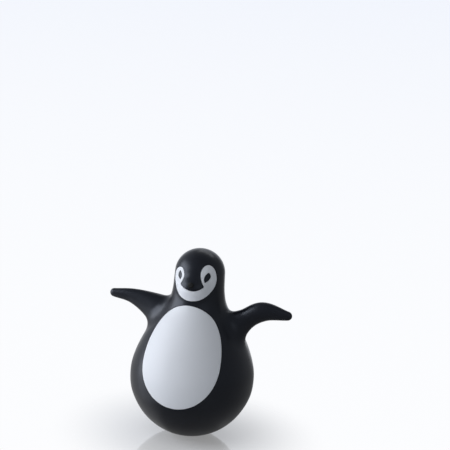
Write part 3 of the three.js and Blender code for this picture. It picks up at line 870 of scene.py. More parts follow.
def soft_rubber():
    """Moulded thermoplastic rubber: matt, with a dusty bloom in its fine grain."""
    made, tree = new_material("moulded_rubber")
    place = add(tree, "ShaderNodeTexCoord").outputs["Object"]
    fine = add(tree, "ShaderNodeTexNoise", {"Vector": place, "Scale": 1200, "Detail": 2})
    bump = add(tree, "ShaderNodeBump", {"Height": fine.outputs["Fac"], "Strength": 0.3, "Distance": 0.0001})
    bloom = add(tree, "ShaderNodeTexNoise", {"Vector": place, "Scale": 120, "Detail": 4})
    tone = add(
        tree,
        "ShaderNodeMix",
        {"Factor": bloom.outputs["Fac"], "A": (*linear("#1d1e20"), 1), "B": (*linear("#313235"), 1)},
        data_type="RGBA",
    )
    dull = add(tree, "ShaderNodeMapRange", {"Value": bloom.outputs["Fac"], "To Min": 0.62, "To Max": 0.8})
    shader = add(
        tree,
        "ShaderNodeBsdfPrincipled",
        {
            "Base Color": tone.outputs["Result"],
            "Roughness": dull.outputs["Result"],
            "IOR": 1.5,
            "Normal": bump.outputs["Normal"],
        },
    )
    add(tree, "ShaderNodeOutputMaterial", {"Surface": shader.outputs["BSDF"]})
    return made


def material(name):
    """The finish of that name, made once."""
    if name in bpy.data.materials:
        return bpy.data.materials[name]
    if name == "satin_black_abs":
        return moulded_plastic(name, shape().black, 0.32, 1.48, 1.25, 0.08, (0.84, 0.9, 1.0))
    if name == "satin_white_abs":
        return moulded_plastic(name, front().white, 0.5, 1.46, 0.97, 0.08)
    # near-black and matt, darker than the body's black, so that the nose shows as a dark spot without a
    # highlight
    if name == "matt_black_abs":
        return moulded_plastic(name, linear("#08090b"), 0.7, 1.46, 1.2, 0.1)
    makers = {"sand_cast_iron": cast_iron, "zinc_plated_steel": zinc_steel, "moulded_rubber": soft_rubber}
    return makers[name]()


# ---------------------------------------------------------------- geometry nodes


def new_tree(name, lengths, counts=()):
    """Empty geometry tree with named inputs for its sizes, counts and material."""
    tree = bpy.data.node_groups.new(name, "GeometryNodeTree")
    tree.interface.new_socket("Geometry", in_out="OUTPUT", socket_type="NodeSocketGeometry")
    tree.interface.new_socket("Geometry", in_out="INPUT", socket_type="NodeSocketGeometry")
    for label in lengths:
        tree.interface.new_socket(label, in_out="INPUT", socket_type="NodeSocketFloat").subtype = "DISTANCE"
    for label in counts:
        tree.interface.new_socket(label, in_out="INPUT", socket_type="NodeSocketInt")
    tree.interface.new_socket("Material", in_out="INPUT", socket_type="NodeSocketMaterial")
    return tree, tree.nodes.new("NodeGroupInput").outputs


def finish_tree(tree, given, geometry):
    """Realizes the result, gives it the material and hands it out."""
    real = add(tree, "GeometryNodeRealizeInstances", {"Geometry": geometry}).outputs["Geometry"]
    coated = add(
        tree,
        "GeometryNodeSetMaterial",
        {"Geometry": real, "Material": given["Material"]},
    ).outputs["Geometry"]
    add(tree, "NodeGroupOutput", {"Geometry": coated})
    return tree


def run_tree(obj, tree, values):
    """Runs a tree on an object and keeps the plain mesh that it makes."""
    step = obj.modifiers.new(tree.name, "NODES")
    step.node_group = tree
    for item in tree.interface.items_tree:
        if item.in_out == "INPUT" and item.name in values:
            step[item.identifier] = values[item.name]
    evaluated(obj, obj.name)
    weld(obj.data)
    return obj


def panel_tree():
    """Egg-shaped panel of two half ellipses, laid on the skin that the object's mesh shows. One wrapped
    grid runs from the middle of the front round the edge, along the rim and its snap hooks, to the
    middle behind."""
    lengths = [
        "Half Width",
        "Level",
        "Up",
        "Down",
        "Thickness",
        "Edge Radius",
        "Rim Inset",
        "Rim Width",
        "Rim Depth",
    ]
    lengths += ["Hook Top", "Hook Depth", "Hook Reach", "Hook Width"]
    tree, given = new_tree("belly panel", lengths, ["Hooks", "Columns"])
    front_rows, back_rows, stations = 26, 10, 15
    rows = front_rows + stations + back_rows
    columns = add(tree, "ShaderNodeMath", {0: given["Columns"], 1: 1}, operation="ADD").outputs[0]
    grid = add(tree, "GeometryNodeMeshGrid", {"Vertices X": columns, "Vertices Y": rows}).outputs["Mesh"]
    known = {name.lower(): given[name] for name in [*lengths, "Hooks", "Columns"]}
    known["index"] = add(tree, "GeometryNodeInputIndex").outputs[0]
    formulas = [
        ("index and half", "ADD", "index", 0.5),
        ("column and part", "DIVIDE", "index and half", rows),
        ("column", "FLOOR", "column and part"),
        ("earlier", "MULTIPLY", "column", rows),
        ("row", "SUBTRACT", "index", "earlier"),
        ("turn", "DIVIDE", 2 * math.pi, "columns"),
        ("angle", "MULTIPLY", "column", "turn"),
        ("cos", "COSINE", "angle"),
        ("sin", "SINE", "angle"),
        ("in upper half", "GREATER_THAN", "sin", 0),
        ("taller by", "SUBTRACT", "up", "down"),
        ("reach", "MULTIPLY_ADD", "in upper half", "taller by", "down"),
        ("share in front", "DIVIDE", "row", front_rows),
        ("rows left", "SUBTRACT", rows - 1, "row"),
        ("share behind", "DIVIDE", "rows left", back_rows),
        ("lesser share", "MINIMUM", "share in front", "share behind"),
        ("share", "MINIMUM", "lesser share", 1),
        ("rows past front", "SUBTRACT", "row", front_rows),
        ("not below first", "MAXIMUM", "rows past front", 0),
        ("station", "MINIMUM", "not below first", stations - 1),
        ("rim back", "ADD", "rim inset", "rim width"),
        ("margin 1", "MULTIPLY", "edge radius", 0.617),
        ("margin 2", "MULTIPLY", "edge radius", 0.293),
        ("margin 3", "MULTIPLY", "edge radius", 0.076),
        ("level 1", "MULTIPLY", "edge radius", -0.076),
        ("level 2", "MULTIPLY", "edge radius", -0.293),
        ("level 3", "MULTIPLY", "edge radius", -0.617),
        ("level 4", "MULTIPLY", "edge radius", -1),
        ("back", "MULTIPLY", "thickness", -1),
        ("near back", "ADD", "back", 0.0002),
        ("hook front", "MULTIPLY", "hook top", -1),
        ("hook front in", "SUBTRACT", "hook front", 0.0001),
        ("hook end", "SUBTRACT", "hook front", "hook depth"),
        ("hook end in", "SUBTRACT", "hook end", 0.0001),
        ("rim end", "MULTIPLY", "rim depth", -1),
        ("height", "ADD", "up", "down"),
        ("mean half", "MULTIPLY_ADD", "height", 0.5, "half width"),
        ("lap", "MULTIPLY", "mean half", math.pi),
        ("hooks passed", "MULTIPLY", "angle", "hooks"),
        ("hook places", "DIVIDE", "hooks passed", 2 * math.pi),
        ("place", "FRACT", "hook places"),
        ("off place", "SUBTRACT", "place", 0.5),
        ("off", "ABSOLUTE", "off place"),
        ("off in laps", "MULTIPLY", "off", "lap"),
        ("off in lengths", "DIVIDE", "off in laps", "hooks"),
        ("half hook", "MULTIPLY", "hook width", 0.5),
        ("on hook", "LESS_THAN", "off in lengths", "half hook"),
        ("off hook rows", "SUBTRACT", "station", 9.5),
        ("far from hook rows", "ABSOLUTE", "off hook rows"),
        ("hook row", "LESS_THAN", "far from hook rows", 0.6),
        ("hook here", "MULTIPLY", "on hook", "hook row"),
        ("bulge", "MULTIPLY", "hook here", "hook reach"),
        ("straight back", "GREATER_THAN", "station", 6.5),
    ]
    for name, operation, *terms in formulas:
        inputs = {i: known.get(term, term) for i, term in enumerate(terms)}
        known[name] = add(tree, "ShaderNodeMath", inputs, label=name, operation=operation).outputs[0]
    margins = [
        "edge radius",
        "margin 1",
        "margin 2",
        "margin 3",
        0,
        0,
        0.0002,
        *["rim inset"] * 6,
        "rim back",
        "rim back",
    ]
    levels = [
        0,
        "level 1",
        "level 2",
        "level 3",
        "level 4",
        "near back",
        "back",
        "back",
        "hook front",
        "hook front in",
    ]
    levels += ["hook end", "hook end in", "rim end", "rim end", "back"]
    for name, values in (("margin at station", margins), ("depth", levels)):
        switch = add(tree, "GeometryNodeIndexSwitch", {}, label=name, data_type="FLOAT")
        while len(switch.index_switch_items) < stations:
            switch.index_switch_items.new()
        tree.links.new(known["station"], switch.inputs[0])
        for socket, value in zip(switch.inputs[1:], values):
            if value in known:
                tree.links.new(known[value], socket)
            else:
                socket.default_value = value
        known[name] = switch.outputs[0]
    formulas = [
        ("margin", "SUBTRACT", "margin at station", "bulge"),
        ("wide", "SUBTRACT", "half width", "margin"),
        ("high", "SUBTRACT", "reach", "margin"),
        ("wide here", "MULTIPLY", "wide", "share"),
        ("high here", "MULTIPLY", "high", "share"),
        ("x", "MULTIPLY", "wide here", "cos"),
        ("z", "MULTIPLY_ADD", "high here", "sin", "level"),
    ]
    for name, operation, *terms in formulas:
        inputs = {i: known.get(term, term) for i, term in enumerate(terms)}
        known[name] = add(tree, "ShaderNodeMath", inputs, label=name, operation=operation).outputs[0]
    start = add(tree, "ShaderNodeCombineXYZ", {"X": known["x"], "Y": -0.3, "Z": known["z"]}).outputs[0]
    own = add(
        tree,
        "GeometryNodeInputNamedAttribute",
        {"Name": "skin_normal"},
        data_type="FLOAT_VECTOR",
    ).outputs["Attribute"]
    ray = add(
        tree,
        "GeometryNodeRaycast",
        {
            "Target Geometry": given["Geometry"],
            "Attribute": own,
            "Source Position": start,
            "Ray Direction": (0, 1, 0),
            "Ray Length": 1,
        },
        data_type="FLOAT_VECTOR",
    ).outputs
    normal = add(tree, "ShaderNodeVectorMath", {0: ray["Attribute"]}, operation="NORMALIZE").outputs[0]
    known["facing"] = add(tree, "ShaderNodeSeparateXYZ", {0: normal}).outputs["Y"]
    inputs = {0: known["depth"], 1: known["facing"]}
    known["deep"] = add(tree, "ShaderNodeMath", inputs, label="deep", operation="DIVIDE").outputs[0]
    square = add(
        tree,
        "ShaderNodeVectorMath",
        {0: normal, "Scale": known["depth"]},
        operation="SCALE",
    ).outputs[0]
    level_back = add(tree, "ShaderNodeCombineXYZ", {"Y": known["deep"]}).outputs[0]
    shift = add(
        tree,
        "ShaderNodeMix",
        {"Factor": known["straight back"], 4: square, 5: level_back},
        data_type="VECTOR",
    ).outputs[1]
    place = add(tree, "ShaderNodeVectorMath", {0: ray["Hit Position"], 1: shift}, operation="ADD").outputs[0]
    wrapped = add(tree, "GeometryNodeSetPosition", {"Geometry": grid, "Position": place}).outputs[0]
    closed = add(tree, "GeometryNodeMergeByDistance", {"Geometry": wrapped, "Distance": 0.000002}).outputs[0]
    return finish_tree(tree, given, closed)


def peg_tree():
    """A round locating peg behind each point of the object's mesh."""
    tree, given = new_tree("pegs", ["Radius", "Length"], ["Sides"])
    bar = add(
        tree,
        "GeometryNodeMeshCylinder",
        {"Vertices": given["Sides"], "Radius": given["Radius"], "Depth": given["Length"]},
    ).outputs["Mesh"]
    half = add(tree, "ShaderNodeMath", {0: given["Length"], 1: 0.5}, operation="MULTIPLY").outputs[0]
    behind = add(tree, "ShaderNodeCombineXYZ", {"Y": half}).outputs[0]
    laid = add(
        tree,
        "GeometryNodeTransform",
        {"Geometry": bar, "Translation": behind, "Rotation": (math.pi / 2, 0, 0)},
    ).outputs[0]
    pegs = add(
        tree,
        "GeometryNodeInstanceOnPoints",
        {"Points": given["Geometry"], "Instance": laid},
    ).outputs[0]
    return finish_tree(tree, given, pegs)


def rod_tree():
    """Round rod with a helical thread: a wrapped grid whose radius follows the turn and the height."""
    lengths = ["Radius", "Pitch", "Thread Depth", "Bottom", "Top", "Thread Top"]
    tree, given = new_tree("threaded rod", lengths, ["Columns", "Rows"])
    columns = add(tree, "ShaderNodeMath", {0: given["Columns"], 1: 1}, operation="ADD").outputs[0]
    grid = add(
        tree,
        "GeometryNodeMeshGrid",
        {"Vertices X": columns, "Vertices Y": given["Rows"]},
    ).outputs["Mesh"]
    known = {name.lower(): given[name] for name in [*lengths, "Columns", "Rows"]}
    known["index"] = add(tree, "GeometryNodeInputIndex").outputs[0]
    formulas = [
        ("index and half", "ADD", "index", 0.5),
        ("column and part", "DIVIDE", "index and half", "rows"),
        ("column", "FLOOR", "column and part"),
        ("earlier", "MULTIPLY", "column", "rows"),
        ("row", "SUBTRACT", "index", "earlier"),
        ("turns", "DIVIDE", "column", "columns"),
        ("angle", "MULTIPLY", "turns", 2 * math.pi),
        ("last row", "SUBTRACT", "rows", 1),
        ("inner rows", "SUBTRACT", "rows", 3),
        ("row from one", "SUBTRACT", "row", 1),
        ("part up", "DIVIDE", "row from one", "inner rows"),
        ("not below", "MAXIMUM", "part up", 0),
        ("share up", "MINIMUM", "not below", 1),
        ("length", "SUBTRACT", "top", "bottom"),
        ("z", "MULTIPLY_ADD", "share up", "length", "bottom"),
        ("rows to top", "SUBTRACT", "last row", "row"),
        ("rows to end", "MINIMUM", "row", "rows to top"),
        ("open", "GREATER_THAN", "rows to end", 0.5),
        ("height in pitches", "DIVIDE", "z", "pitch"),
        ("phase", "SUBTRACT", "height in pitches", "turns"),
        ("in pitch", "FRACT", "phase"),
        ("off crest", "SUBTRACT", "in pitch", 0.5),
        ("off crest size", "ABSOLUTE", "off crest"),
        ("groove", "MULTIPLY", "off crest size", 2),
        ("threaded", "LESS_THAN", "z", "thread top"),
        ("groove here", "MULTIPLY", "groove", "threaded"),
        ("less", "MULTIPLY", "groove here", "thread depth"),
        ("thread radius", "SUBTRACT", "radius", "less"),
        ("below", "SUBTRACT", "z", "bottom"),
        ("core", "SUBTRACT", "radius", "thread depth"),
        ("chamfer", "ADD", "core", "below"),
        ("bounded", "MINIMUM", "thread radius", "chamfer"),
        ("r", "MULTIPLY", "bounded", "open"),
        ("cos", "COSINE", "angle"),
        ("sin", "SINE", "angle"),
        ("x", "MULTIPLY", "r", "cos"),
        ("y", "MULTIPLY", "r", "sin"),
    ]
    for name, operation, *terms in formulas:
        inputs = {i: known.get(term, term) for i, term in enumerate(terms)}
        known[name] = add(tree, "ShaderNodeMath", inputs, label=name, operation=operation).outputs[0]
    place = add(tree, "ShaderNodeCombineXYZ", {"X": known["x"], "Y": known["y"], "Z": known["z"]}).outputs[0]
    wrapped = add(tree, "GeometryNodeSetPosition", {"Geometry": grid, "Position": place}).outputs[0]
    closed = add(tree, "GeometryNodeMergeByDistance", {"Geometry": wrapped, "Distance": 0.000002}).outputs[0]
    return finish_tree(tree, given, closed)


# ---------------------------------------------------------------- pieces

kept = {}


def the_skin():
    if "skin" not in kept:
        kept["skin"] = Skin()
    return kept["skin"]


class TOY_OT_body(bpy.types.Operator):
    """Build the black body with head and wings in one moulding"""

    bl_idname = "toy.body"
    bl_label = "Body"

    def execute(self, context):
        skin, s, f = the_skin(), shape(), front()
        step, wall = s.step / MM, s.wall / MM
        # corners of the grid that the mesh is read from, a little beyond the toy
        low = (-164.3, -109.7, -7.9)
        high = (168, 113, skin.height + 8)
        verts, faces = surface(skin.at, low, high, step, 3.8 * step)
        verts = skin.settle(verts)
        # level of the flat floor inside the shell, which the weight's pad lies on
        floor = 12.0
        # the inner wall is never seen, so its mesh is coarser
        inner_step, inner_band = 6.1, 14

        def hollow(p):
            return np.maximum(skin.at(p) + wall, floor - p[:, 2])

        inner, inner_faces = surface(hollow, low, high, inner_step, inner_band)
        above = inner[:, 2] > floor + 1.5
        inner[above] = skin.settle(inner[above], -wall)
        inner[~above, 2] = np.maximum(inner[~above, 2], floor)
        body = mesh_object(
            "body_moulding",
            np.vstack([verts, inner]),
            [*faces, *(inner_faces[:, ::-1] + len(verts))],
            material("satin_black_abs"),
        )
        self.refine_tips(body, skin)
        edge, gap, fit = f.edge_radius / MM, f.shadow_gap / MM, s.fit / MM
        tools = [
            plate(skin, [egg(0)], groove_rows(f.belly_thickness / MM + fit, gap, edge), 4),
            extruded(egg(f.belly_shelf / MM), -skin.body_r - 20, -10),
            plate(skin, [mask_line(skin)], groove_rows(f.mask_thickness / MM + fit, gap, edge), 3),
        ]
        # holes for the locating pegs, of the pegs' radius and clearance
        pin = [(0, -30), (1.8, -30), (1.8, 40), (0, 40)]
        places = [*skin.on_head(MASK_PEGS)]
        eyes = [eye_line(skin, places) for places in (RIGHT_EYE, LEFT_EYE)]
        places += [(line.min(0) + line.max(0)) / 2 for line in eyes]
        for x, z in places:
            v, fs = lathe(pin, 20)
            tools.append((towards_front(v, x, -45, z), fs))
        for radius, deep in ((2.3, 40), (f.nose_radius / MM + 0.3, 0)):
            nose_z = skin.head_z - f.nose_drop / MM
            seat = skin.lift(np.array([[0, nose_z]]))[0][0, 1] + 1.2
            v, fs = lathe([(0, -deep), (radius, -deep), (radius, 20), (0, 20)], 48)
            tools.append((towards_front(v, 0, seat, nose_z), fs))
        # seat of the plug with the groove for its lip, and the bolt hole above it
        recess = [
            (0, -3),
            (14.9, -3),
            (14.3, 0.8),
            (14.3, 3),
            (15.1, 3.4),
            (15.1, 5),
            (14.3, 5.4),
            (14.3, 6.5),
            (4.3, 6.5),
            (4.3, 13),
            (0, 13),
        ]
        tools.append(lathe(recess, 72))
        cut(body, [mesh_object("tool", *tool) for tool in tools])
        polish(body, skin)
        finish_piece(body, "body_shell")
        return {"FINISHED"}

    def refine_tips(self, body, skin):
        """Halves the mesh width where the wings grow thin, and lays the new points on the skin."""
        work = bmesh.new()
        work.from_mesh(body.data)
        there = {v for v in work.verts if abs(v.co.x) > 0.09 and v.co.z > 0.19}
        edges = [e for e in work.edges if e.verts[0] in there and e.verts[1] in there]
        bmesh.ops.subdivide_edges(work, edges=edges, cuts=1, use_grid_fill=True)
        work.verts.ensure_lookup_table()
        fine = [v for v in work.verts if abs(v.co.x) > 0.09 and v.co.z > 0.19]
        co = np.array([v.co for v in fine]) / MM
        level = np.where(skin.at(co) > -skin.wall / 2, 0.0, -skin.wall)
        for v, p in zip(fine, skin.settle(co, level) * MM):
            v.co = p
        work.to_mesh(body.data)
        work.free()


class TOY_OT_belly(bpy.types.Operator):
    """Build the white egg-shaped belly panel"""

    bl_idname = "toy.belly"
    bl_label = "Belly panel"

    def execute(self, context):
        skin, f = the_skin(), front()
        low, high = egg(-4).min(0), egg(-4).max(0)
        nx, nz = (int(n) for n in (high - low) / 2)
        x, z = np.meshgrid(np.linspace(low[0], high[0], nx), np.linspace(low[1], high[1], nz), indexing="ij")
        points, normals = skin.lift(np.c_[x.ravel(), z.ravel()])
        i, j = np.meshgrid(np.arange(nx - 1), np.arange(nz - 1), indexing="ij")
        first = (i * nz + j).ravel()
        panel = patch("belly_moulding", points, np.c_[first, first + nz, first + nz + 1, first + 1])
        own = panel.data.attributes.new("skin_normal", "FLOAT_VECTOR", "POINT")
        own.data.foreach_set("vector", normals.ravel())
        sizes = {
            "Half Width": f.belly_half_width,
            "Level": f.belly_level,
            "Up": f.belly_up,
            "Down": f.belly_down,
            "Thickness": f.belly_thickness,
            "Edge Radius": f.edge_radius,
            "Rim Inset": f.belly_shelf + f.shadow_gap,
            "Rim Width": f.rim_width,
            "Rim Depth": f.rim_depth,
            "Hook Top": shape().wall + 0.8 * MM,
            "Hook Depth": f.hook_depth,
            "Hook Reach": f.hook_reach,
            "Hook Width": f.hook_width,
            "Hooks": f.hooks,
            "Columns": 240,
            "Material": material("satin_white_abs"),
        }
        run_tree(panel, panel_tree(), sizes)
        polish(panel, skin)
        finish_piece(panel, "belly_panel")
        return {"FINISHED"}


class TOY_OT_face(bpy.types.Operator):
    """Build the white face mask, the eyes and the nose button"""

    bl_idname = "toy.face"
    bl_label = "Face"

    def execute(self, context):
        skin, f = the_skin(), front()
        eyes = [eye_line(skin, RIGHT_EYE), eye_line(skin, LEFT_EYE)]
        edge = 0.8 * f.edge_radius / MM
        rows = rounded_rows(f.mask_thickness / MM, edge)
        holes = [inset(line, -0.15)[::-1] for line in eyes]
        mask = mesh_object(
            "face_mask_moulding",
            *plate(skin, [mask_line(skin), *holes], rows, 2),
            material("satin_white_abs"),
        )
        self.add_pegs(mask, skin, skin.on_head(MASK_PEGS), "satin_white_abs")
        polish(mask, skin)
        finish_piece(mask, "face_mask")
        for name, node, line in (
            ("right_eye_inlay", "right_eye", eyes[0]),
            ("left_eye_inlay", "left_eye", eyes[1]),
        ):
            eye = mesh_object(
                name,
                *plate(skin, [inset(line, 0.15)], rounded_rows(f.mask_thickness / MM, 0.3, 0.15), 1.4),
                material("satin_black_abs"),
            )
            self.add_pegs(eye, skin, [(line.min(0) + line.max(0)) / 2], "satin_black_abs")
            polish(eye, skin)
            finish_piece(eye, node)
        nose_z = skin.head_z - f.nose_drop / MM
        seat = skin.lift(np.array([[0, nose_z]]))[0][0, 1] + 0.9
        r, rise = f.nose_radius / MM, f.nose_rise / MM
        crown = [(r * math.cos(a), 1.2 + rise * math.sin(a)) for a in np.linspace(0, math.pi / 2, 14)[:-1]]
        profile = [(0, -8), (1.4, -8), (2, -7.2), (2, 0), (r - 0.3, 0), (r, 0.3), *crown, (0, 1.2 + rise)]
        v, fs = lathe(profile, 64)
        nose = mesh_object("nose_button", towards_front(v, 0, seat, nose_z), fs, material("matt_black_abs"))
        polish(nose, skin, 50)
        finish_piece(nose, "nose")
        return {"FINISHED"}

    def add_pegs(self, piece, skin, places, finish):
        f = front()
        fronts = skin.lift(np.array(places))[0] + (0, 0.5 * f.mask_thickness / MM, 0)
        pegs = patch("pegs", fronts)
        run_tree(
            pegs,
            peg_tree(),
            {"Radius": f.peg_radius, "Length": f.peg_length, "Sides": 24, "Material": material(finish)},
        )
        cut(piece, [pegs], "UNION")


class TOY_OT_ballast(bpy.types.Operator):
    """Finish the weight, its fastening and the plug under the foot"""

    bl_idname = "toy.ballast"
    bl_label = "Ballast"

    def execute(self, context):
        finishes = {
            "ballast_weight": "sand_cast_iron",
            "ballast_pad": "moulded_rubber",
            "ballast_washer": "zinc_plated_steel",
            "ballast_nut": "zinc_plated_steel",
            "base_plug": "moulded_rubber",
        }
        for node, finish in finishes.items():
            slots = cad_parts[node].data.materials
            slots.clear()
            slots.append(material(finish))
        self.bolt(context.scene.toy_ballast)
        return {"FINISHED"}

    def bolt(self, b):
        """Pan head with a hexagon socket at the lower end, threaded free end above."""
        low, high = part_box("ballast_bolt")
        r, thick = b.head_radius / MM, b.head_thickness / MM
        seat, end = low[2] / MM + thick, high[2] / MM
        pan = [
            (0, -thick),
            (r - 2.4, -thick),
            (r - 0.7, 1.2 - thick),
            (r, 2.6 - thick),
            (r, -0.3),
            (r - 0.3, 0),
            (0, 0),
        ]
        verts, faces = lathe(pan, 64)
        bolt = mesh_object("socket_bolt", verts + (0, 0, seat), faces, material("zinc_plated_steel"))
        rod = patch("rod", [(0, 0, 0)])
        length = (end - seat + 1) * MM
        sizes = {
            "Radius": b.bolt_radius,
            "Pitch": b.thread_pitch,
            "Thread Depth": b.thread_depth,
            "Bottom": 0.0,
            "Top": length,
            "Thread Top": b.thread_length,
            "Columns": 32,
            "Rows": int(length / b.thread_pitch * 8) + 3,
            "Material": material("zinc_plated_steel"),
        }
        run_tree(rod, rod_tree(), sizes)
        rod.data.transform(Matrix.Translation((0, 0, end * MM)) @ Matrix.Rotation(math.pi, 4, "X"))
        work = bmesh.new()
        work.from_mesh(rod.data)
        bmesh.ops.recalc_face_normals(work, faces=work.faces)
        work.to_mesh(rod.data)
        work.free()
        cut(bolt, [rod], "UNION")
        socket = b.socket_radius / MM
        verts, faces = lathe(
            [(0, -thick - 1), (socket, -thick - 1), (socket, 2.4 - thick), (0, 2.4 - thick)],
            6,
        )
        cut(bolt, [mesh_object("socket", verts + (0, 0, seat), faces)])
        bolt.data.polygons.foreach_set("use_smooth", np.ones(len(bolt.data.polygons), bool))
        bolt.data.set_sharp_from_angle(angle=math.radians(35))
        finish_piece(bolt, "ballast_bolt")


class TOY_OT_studio(bpy.types.Operator):
    """Build the floor, the lights, the background and the camera"""

    bl_idname = "toy.studio"
    bl_label = "Studio"

    def execute(self, context):
        s = context.scene.toy_studio
        scene = context.scene
        scene.view_settings.view_transform = "Standard"
        self.floor(s)
        self.background(scene)
        centre = Vector((0, 0, 0.15))
        for name, place, size, power, tint, mirrored in (
            ("key", (-1.79, -0.62, 0.6), (1.8, 1.5), 31, "#f4f7ff", True),
            ("fill", (1.4, -1.6, 1.2), (1.4, 1.4), 1.5, "#f2f6ff", True),
            ("top", (-0.7, -1.3, 1.9), (1.6, 1.6), 12, "#f8faff", False),
            ("rim", (0.1, 1.3, 1.6), (1.4, 0.5), 3, "#ffffff", True),
        ):
            data = bpy.data.lights.new(name, "AREA")
            data.shape = "RECTANGLE"
            data.size, data.size_y = size
            data.energy = power
            data.color = linear(tint)
            lamp = bpy.data.objects.new(name, data)
            scene.collection.objects.link(lamp)
            lamp.location = place
            lamp.visible_glossy = mirrored
            lamp.rotation_euler = (centre - lamp.location).to_track_quat("-Z", "Y").to_euler()
        cam = bpy.data.objects.new("camera", bpy.data.cameras.new("camera"))
        scene.collection.objects.link(cam)
        cam.data.lens = s.lens
        cam.data.sensor_width = 36
        cam.data.clip_end = 200
        lean, tilt = Matrix.Rotation(s.roll, 3, "Y"), Matrix.Rotation(s.elevation, 3, "X")
        turn = lean @ tilt @ Matrix.Rotation(-s.azimuth, 3, "Z")
        right, ahead, up = turn
        place = Vector((0, 0, s.aim)) - turn.transposed() @ Vector((s.aside, s.distance, s.above))
        cam.matrix_world = Matrix.Translation(place) @ Matrix((right, up, -ahead)).transposed().to_4x4()
        scene.camera = cam
        return {"FINISHED"}

    def floor(self, s):
        """White gloss acrylic sheet: it keeps the toy's shadow and mirrors it at a low angle."""
        a = np.linspace(0, 2 * math.pi, 64, endpoint=False)
        verts = np.c_[60000 * np.cos(a), 60000 * np.sin(a), np.full(64, -0.1)]
        made, tree = new_material("white_gloss_acrylic")
        # the sheet's own shade shows close to the foot; further out the camera sees plain white
        place = add(tree, "ShaderNodeNewGeometry").outputs["Position"]
        far = add(tree, "ShaderNodeVectorMath", {0: place}, operation="LENGTH").outputs["Value"]
        toward = add(tree, "ShaderNodeVectorMath", {0: place}, operation="NORMALIZE").outputs["Vector"]
        path = add(tree, "ShaderNodeLightPath").outputs
        near = add(
            tree,
            "ShaderNodeMapRange",
            {"Value": far, "From Min": 0.05, "From Max": 0.24, "To Min": 0.3, "To Max": 1.0},
            interpolation_type="SMOOTHSTEP",
        ).outputs["Result"]
        shown = add(
            tree,
            "ShaderNodeMath",
            {0: near, 1: path["Is Camera Ray"]},
            operation="MULTIPLY",
        ).outputs[0]
        mirrored = add(
            tree,
            "ShaderNodeMath",
            {0: path["Is Glossy Ray"], 1: path["Is Transmission Ray"]},
            operation="MAXIMUM",
        ).outputs[0]
        share = add(tree, "ShaderNodeMath", {0: shown, 1: mirrored}, operation="MAXIMUM").outputs[0]
        # painted reflection: for gloss rays the sheet glows instead of being lit. It is brightest straight
        # behind the toy and on its right-hand side, and at 0.22 elsewhere, so the toy's black plastic shows a
        # painted sheen of a lit floor
        painted_gloss_glow = add(
            tree,
            "ShaderNodeMath",
            {0: self.mirrored(tree, toward), 1: 0.22},
            operation="MAXIMUM",
        ).outputs[0]
        level = add(
            tree,
            "ShaderNodeMath",
            {0: path["Is Camera Ray"], 1: painted_gloss_glow},
            operation="MAXIMUM",
        ).outputs[0]
        matt = add(tree, "ShaderNodeBsdfDiffuse", {"Color": (*s.floor, 1)}).outputs[0]
        glow = add(tree, "ShaderNodeEmission", {"Color": (1, 1, 1, 1), "Strength": level}).outputs[0]
        under = add(tree, "ShaderNodeMixShader", {0: share, 1: matt, 2: glow}).outputs[0]
        gloss = add(tree, "ShaderNodeBsdfGlossy", {"Color": (1, 1, 1, 1), "Roughness": 0.04}).outputs[0]
        fresnel = add(tree, "ShaderNodeFresnel", {"IOR": 2.0}).outputs[0]
        top = add(tree, "ShaderNodeMixShader", {0: fresnel, 1: under, 2: gloss}).outputs[0]
        add(tree, "ShaderNodeOutputMaterial", {"Surface": top})
        sheet = mesh_object("floor", verts, [tuple(range(64))], made)

    def mirrored(self, tree, toward):
        """How bright gloss sees the studio in a direction: the white backdrop straight behind the toy,
        a paler wall on its right-hand side, dark flats elsewhere."""
        parts = add(tree, "ShaderNodeSeparateXYZ", {0: toward}).outputs
        along = add(
            tree,
            "ShaderNodeVectorMath",
            {0: toward, 1: (-0.25, 0.968, 0)},
            operation="DOT_PRODUCT",
        ).outputs["Value"]
        behind = add(
            tree,
            "ShaderNodeMapRange",
            {"Value": along, "From Min": 0.82, "From Max": 0.89, "To Min": 0.0, "To Max": 1.0},
            interpolation_type="SMOOTHSTEP",
        ).outputs["Result"]
        wall = add(
            tree,
            "ShaderNodeMapRange",
            {"Value": parts["X"], "From Min": -0.3, "From Max": -0.8, "To Min": 0.1, "To Max": 0.5},
            interpolation_type="SMOOTHSTEP",
        ).outputs["Result"]
        return add(tree, "ShaderNodeMath", {0: behind, 1: wall}, operation="MAXIMUM").outputs[0]

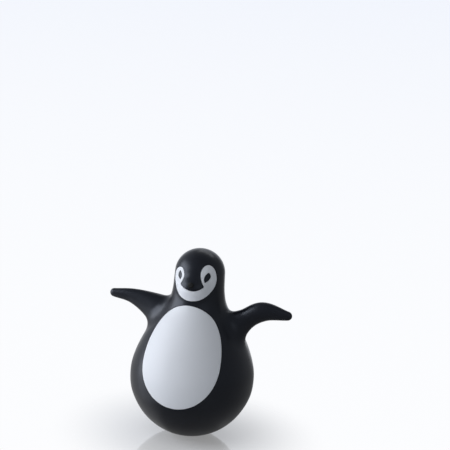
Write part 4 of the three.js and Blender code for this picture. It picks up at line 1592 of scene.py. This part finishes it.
    def background(self, scene):
        """White backdrop; light that reaches the toy without being seen is at a plain level."""
        world = bpy.data.worlds.new("studio")
        scene.world = world
        world.use_nodes = True
        tree = world.node_tree
        tree.nodes.clear()
        path = add(tree, "ShaderNodeLightPath").outputs
        facing = add(tree, "ShaderNodeTexCoord").outputs["Generated"]
        mirrored = add(
            tree,
            "ShaderNodeMath",
            {0: path["Is Glossy Ray"], 1: self.mirrored(tree, facing)},
            operation="MULTIPLY",
        ).outputs[0]
        seen = add(
            tree,
            "ShaderNodeMath",
            {0: path["Is Camera Ray"], 1: mirrored},
            operation="MAXIMUM",
        ).outputs[0]
        seen = add(
            tree,
            "ShaderNodeMath",
            {0: seen, 1: path["Is Transmission Ray"]},
            operation="MAXIMUM",
        ).outputs[0]
        dim = add(
            tree,
            "ShaderNodeBackground",
            {"Color": (*linear("#eef2f8"), 1), "Strength": 0.22},
        ).outputs[0]
        # gloss sees the daylight side of the studio, which is a little bluer
        tint = add(
            tree,
            "ShaderNodeMix",
            {"Factor": path["Is Glossy Ray"], "A": (1, 1, 1, 1), "B": (*linear("#f0f4fd"), 1)},
            data_type="RGBA",
        )
        white = add(
            tree,
            "ShaderNodeBackground",
            {"Color": tint.outputs["Result"], "Strength": 1.0},
        ).outputs[0]
        both = add(tree, "ShaderNodeMixShader", {0: seen, 1: dim, 2: white}).outputs[0]
        add(tree, "ShaderNodeOutputWorld", {"Surface": both})


class TOY_PT_panel(bpy.types.Panel):
    """Sizes and steps of the toy penguin"""

    bl_idname = "TOY_PT_panel"
    bl_label = "Penguin"
    bl_space_type = "VIEW_3D"
    bl_region_type = "UI"
    bl_category = "Penguin"

    def draw(self, context):
        for group in GROUPS:
            values = getattr(context.scene, group)
            box = self.layout.box()
            for name in values.bl_rna.properties.keys():
                if name not in ("rna_type", "name"):
                    box.prop(values, name)
        for step in STEPS:
            self.layout.operator(step.bl_idname)


STEPS = (TOY_OT_body, TOY_OT_belly, TOY_OT_face, TOY_OT_ballast, TOY_OT_studio)
GROUPS = {"toy_shape": ToyShape, "toy_front": ToyFront, "toy_ballast": ToyBallast, "toy_studio": ToyStudio}


def register():
    for kind in (*GROUPS.values(), *STEPS, TOY_PT_panel):
        bpy.utils.register_class(kind)
    for name, kind in GROUPS.items():
        setattr(bpy.types.Scene, name, bpy.props.PointerProperty(type=kind))


def unregister():
    for name in GROUPS:
        delattr(bpy.types.Scene, name)
    for kind in reversed((*GROUPS.values(), *STEPS, TOY_PT_panel)):
        bpy.utils.unregister_class(kind)


def main():
    register()
    bpy.ops.toy.body()
    bpy.ops.toy.belly()
    bpy.ops.toy.face()
    bpy.ops.toy.ballast()
    bpy.ops.toy.studio()


if __name__ == "__main__":
    main()
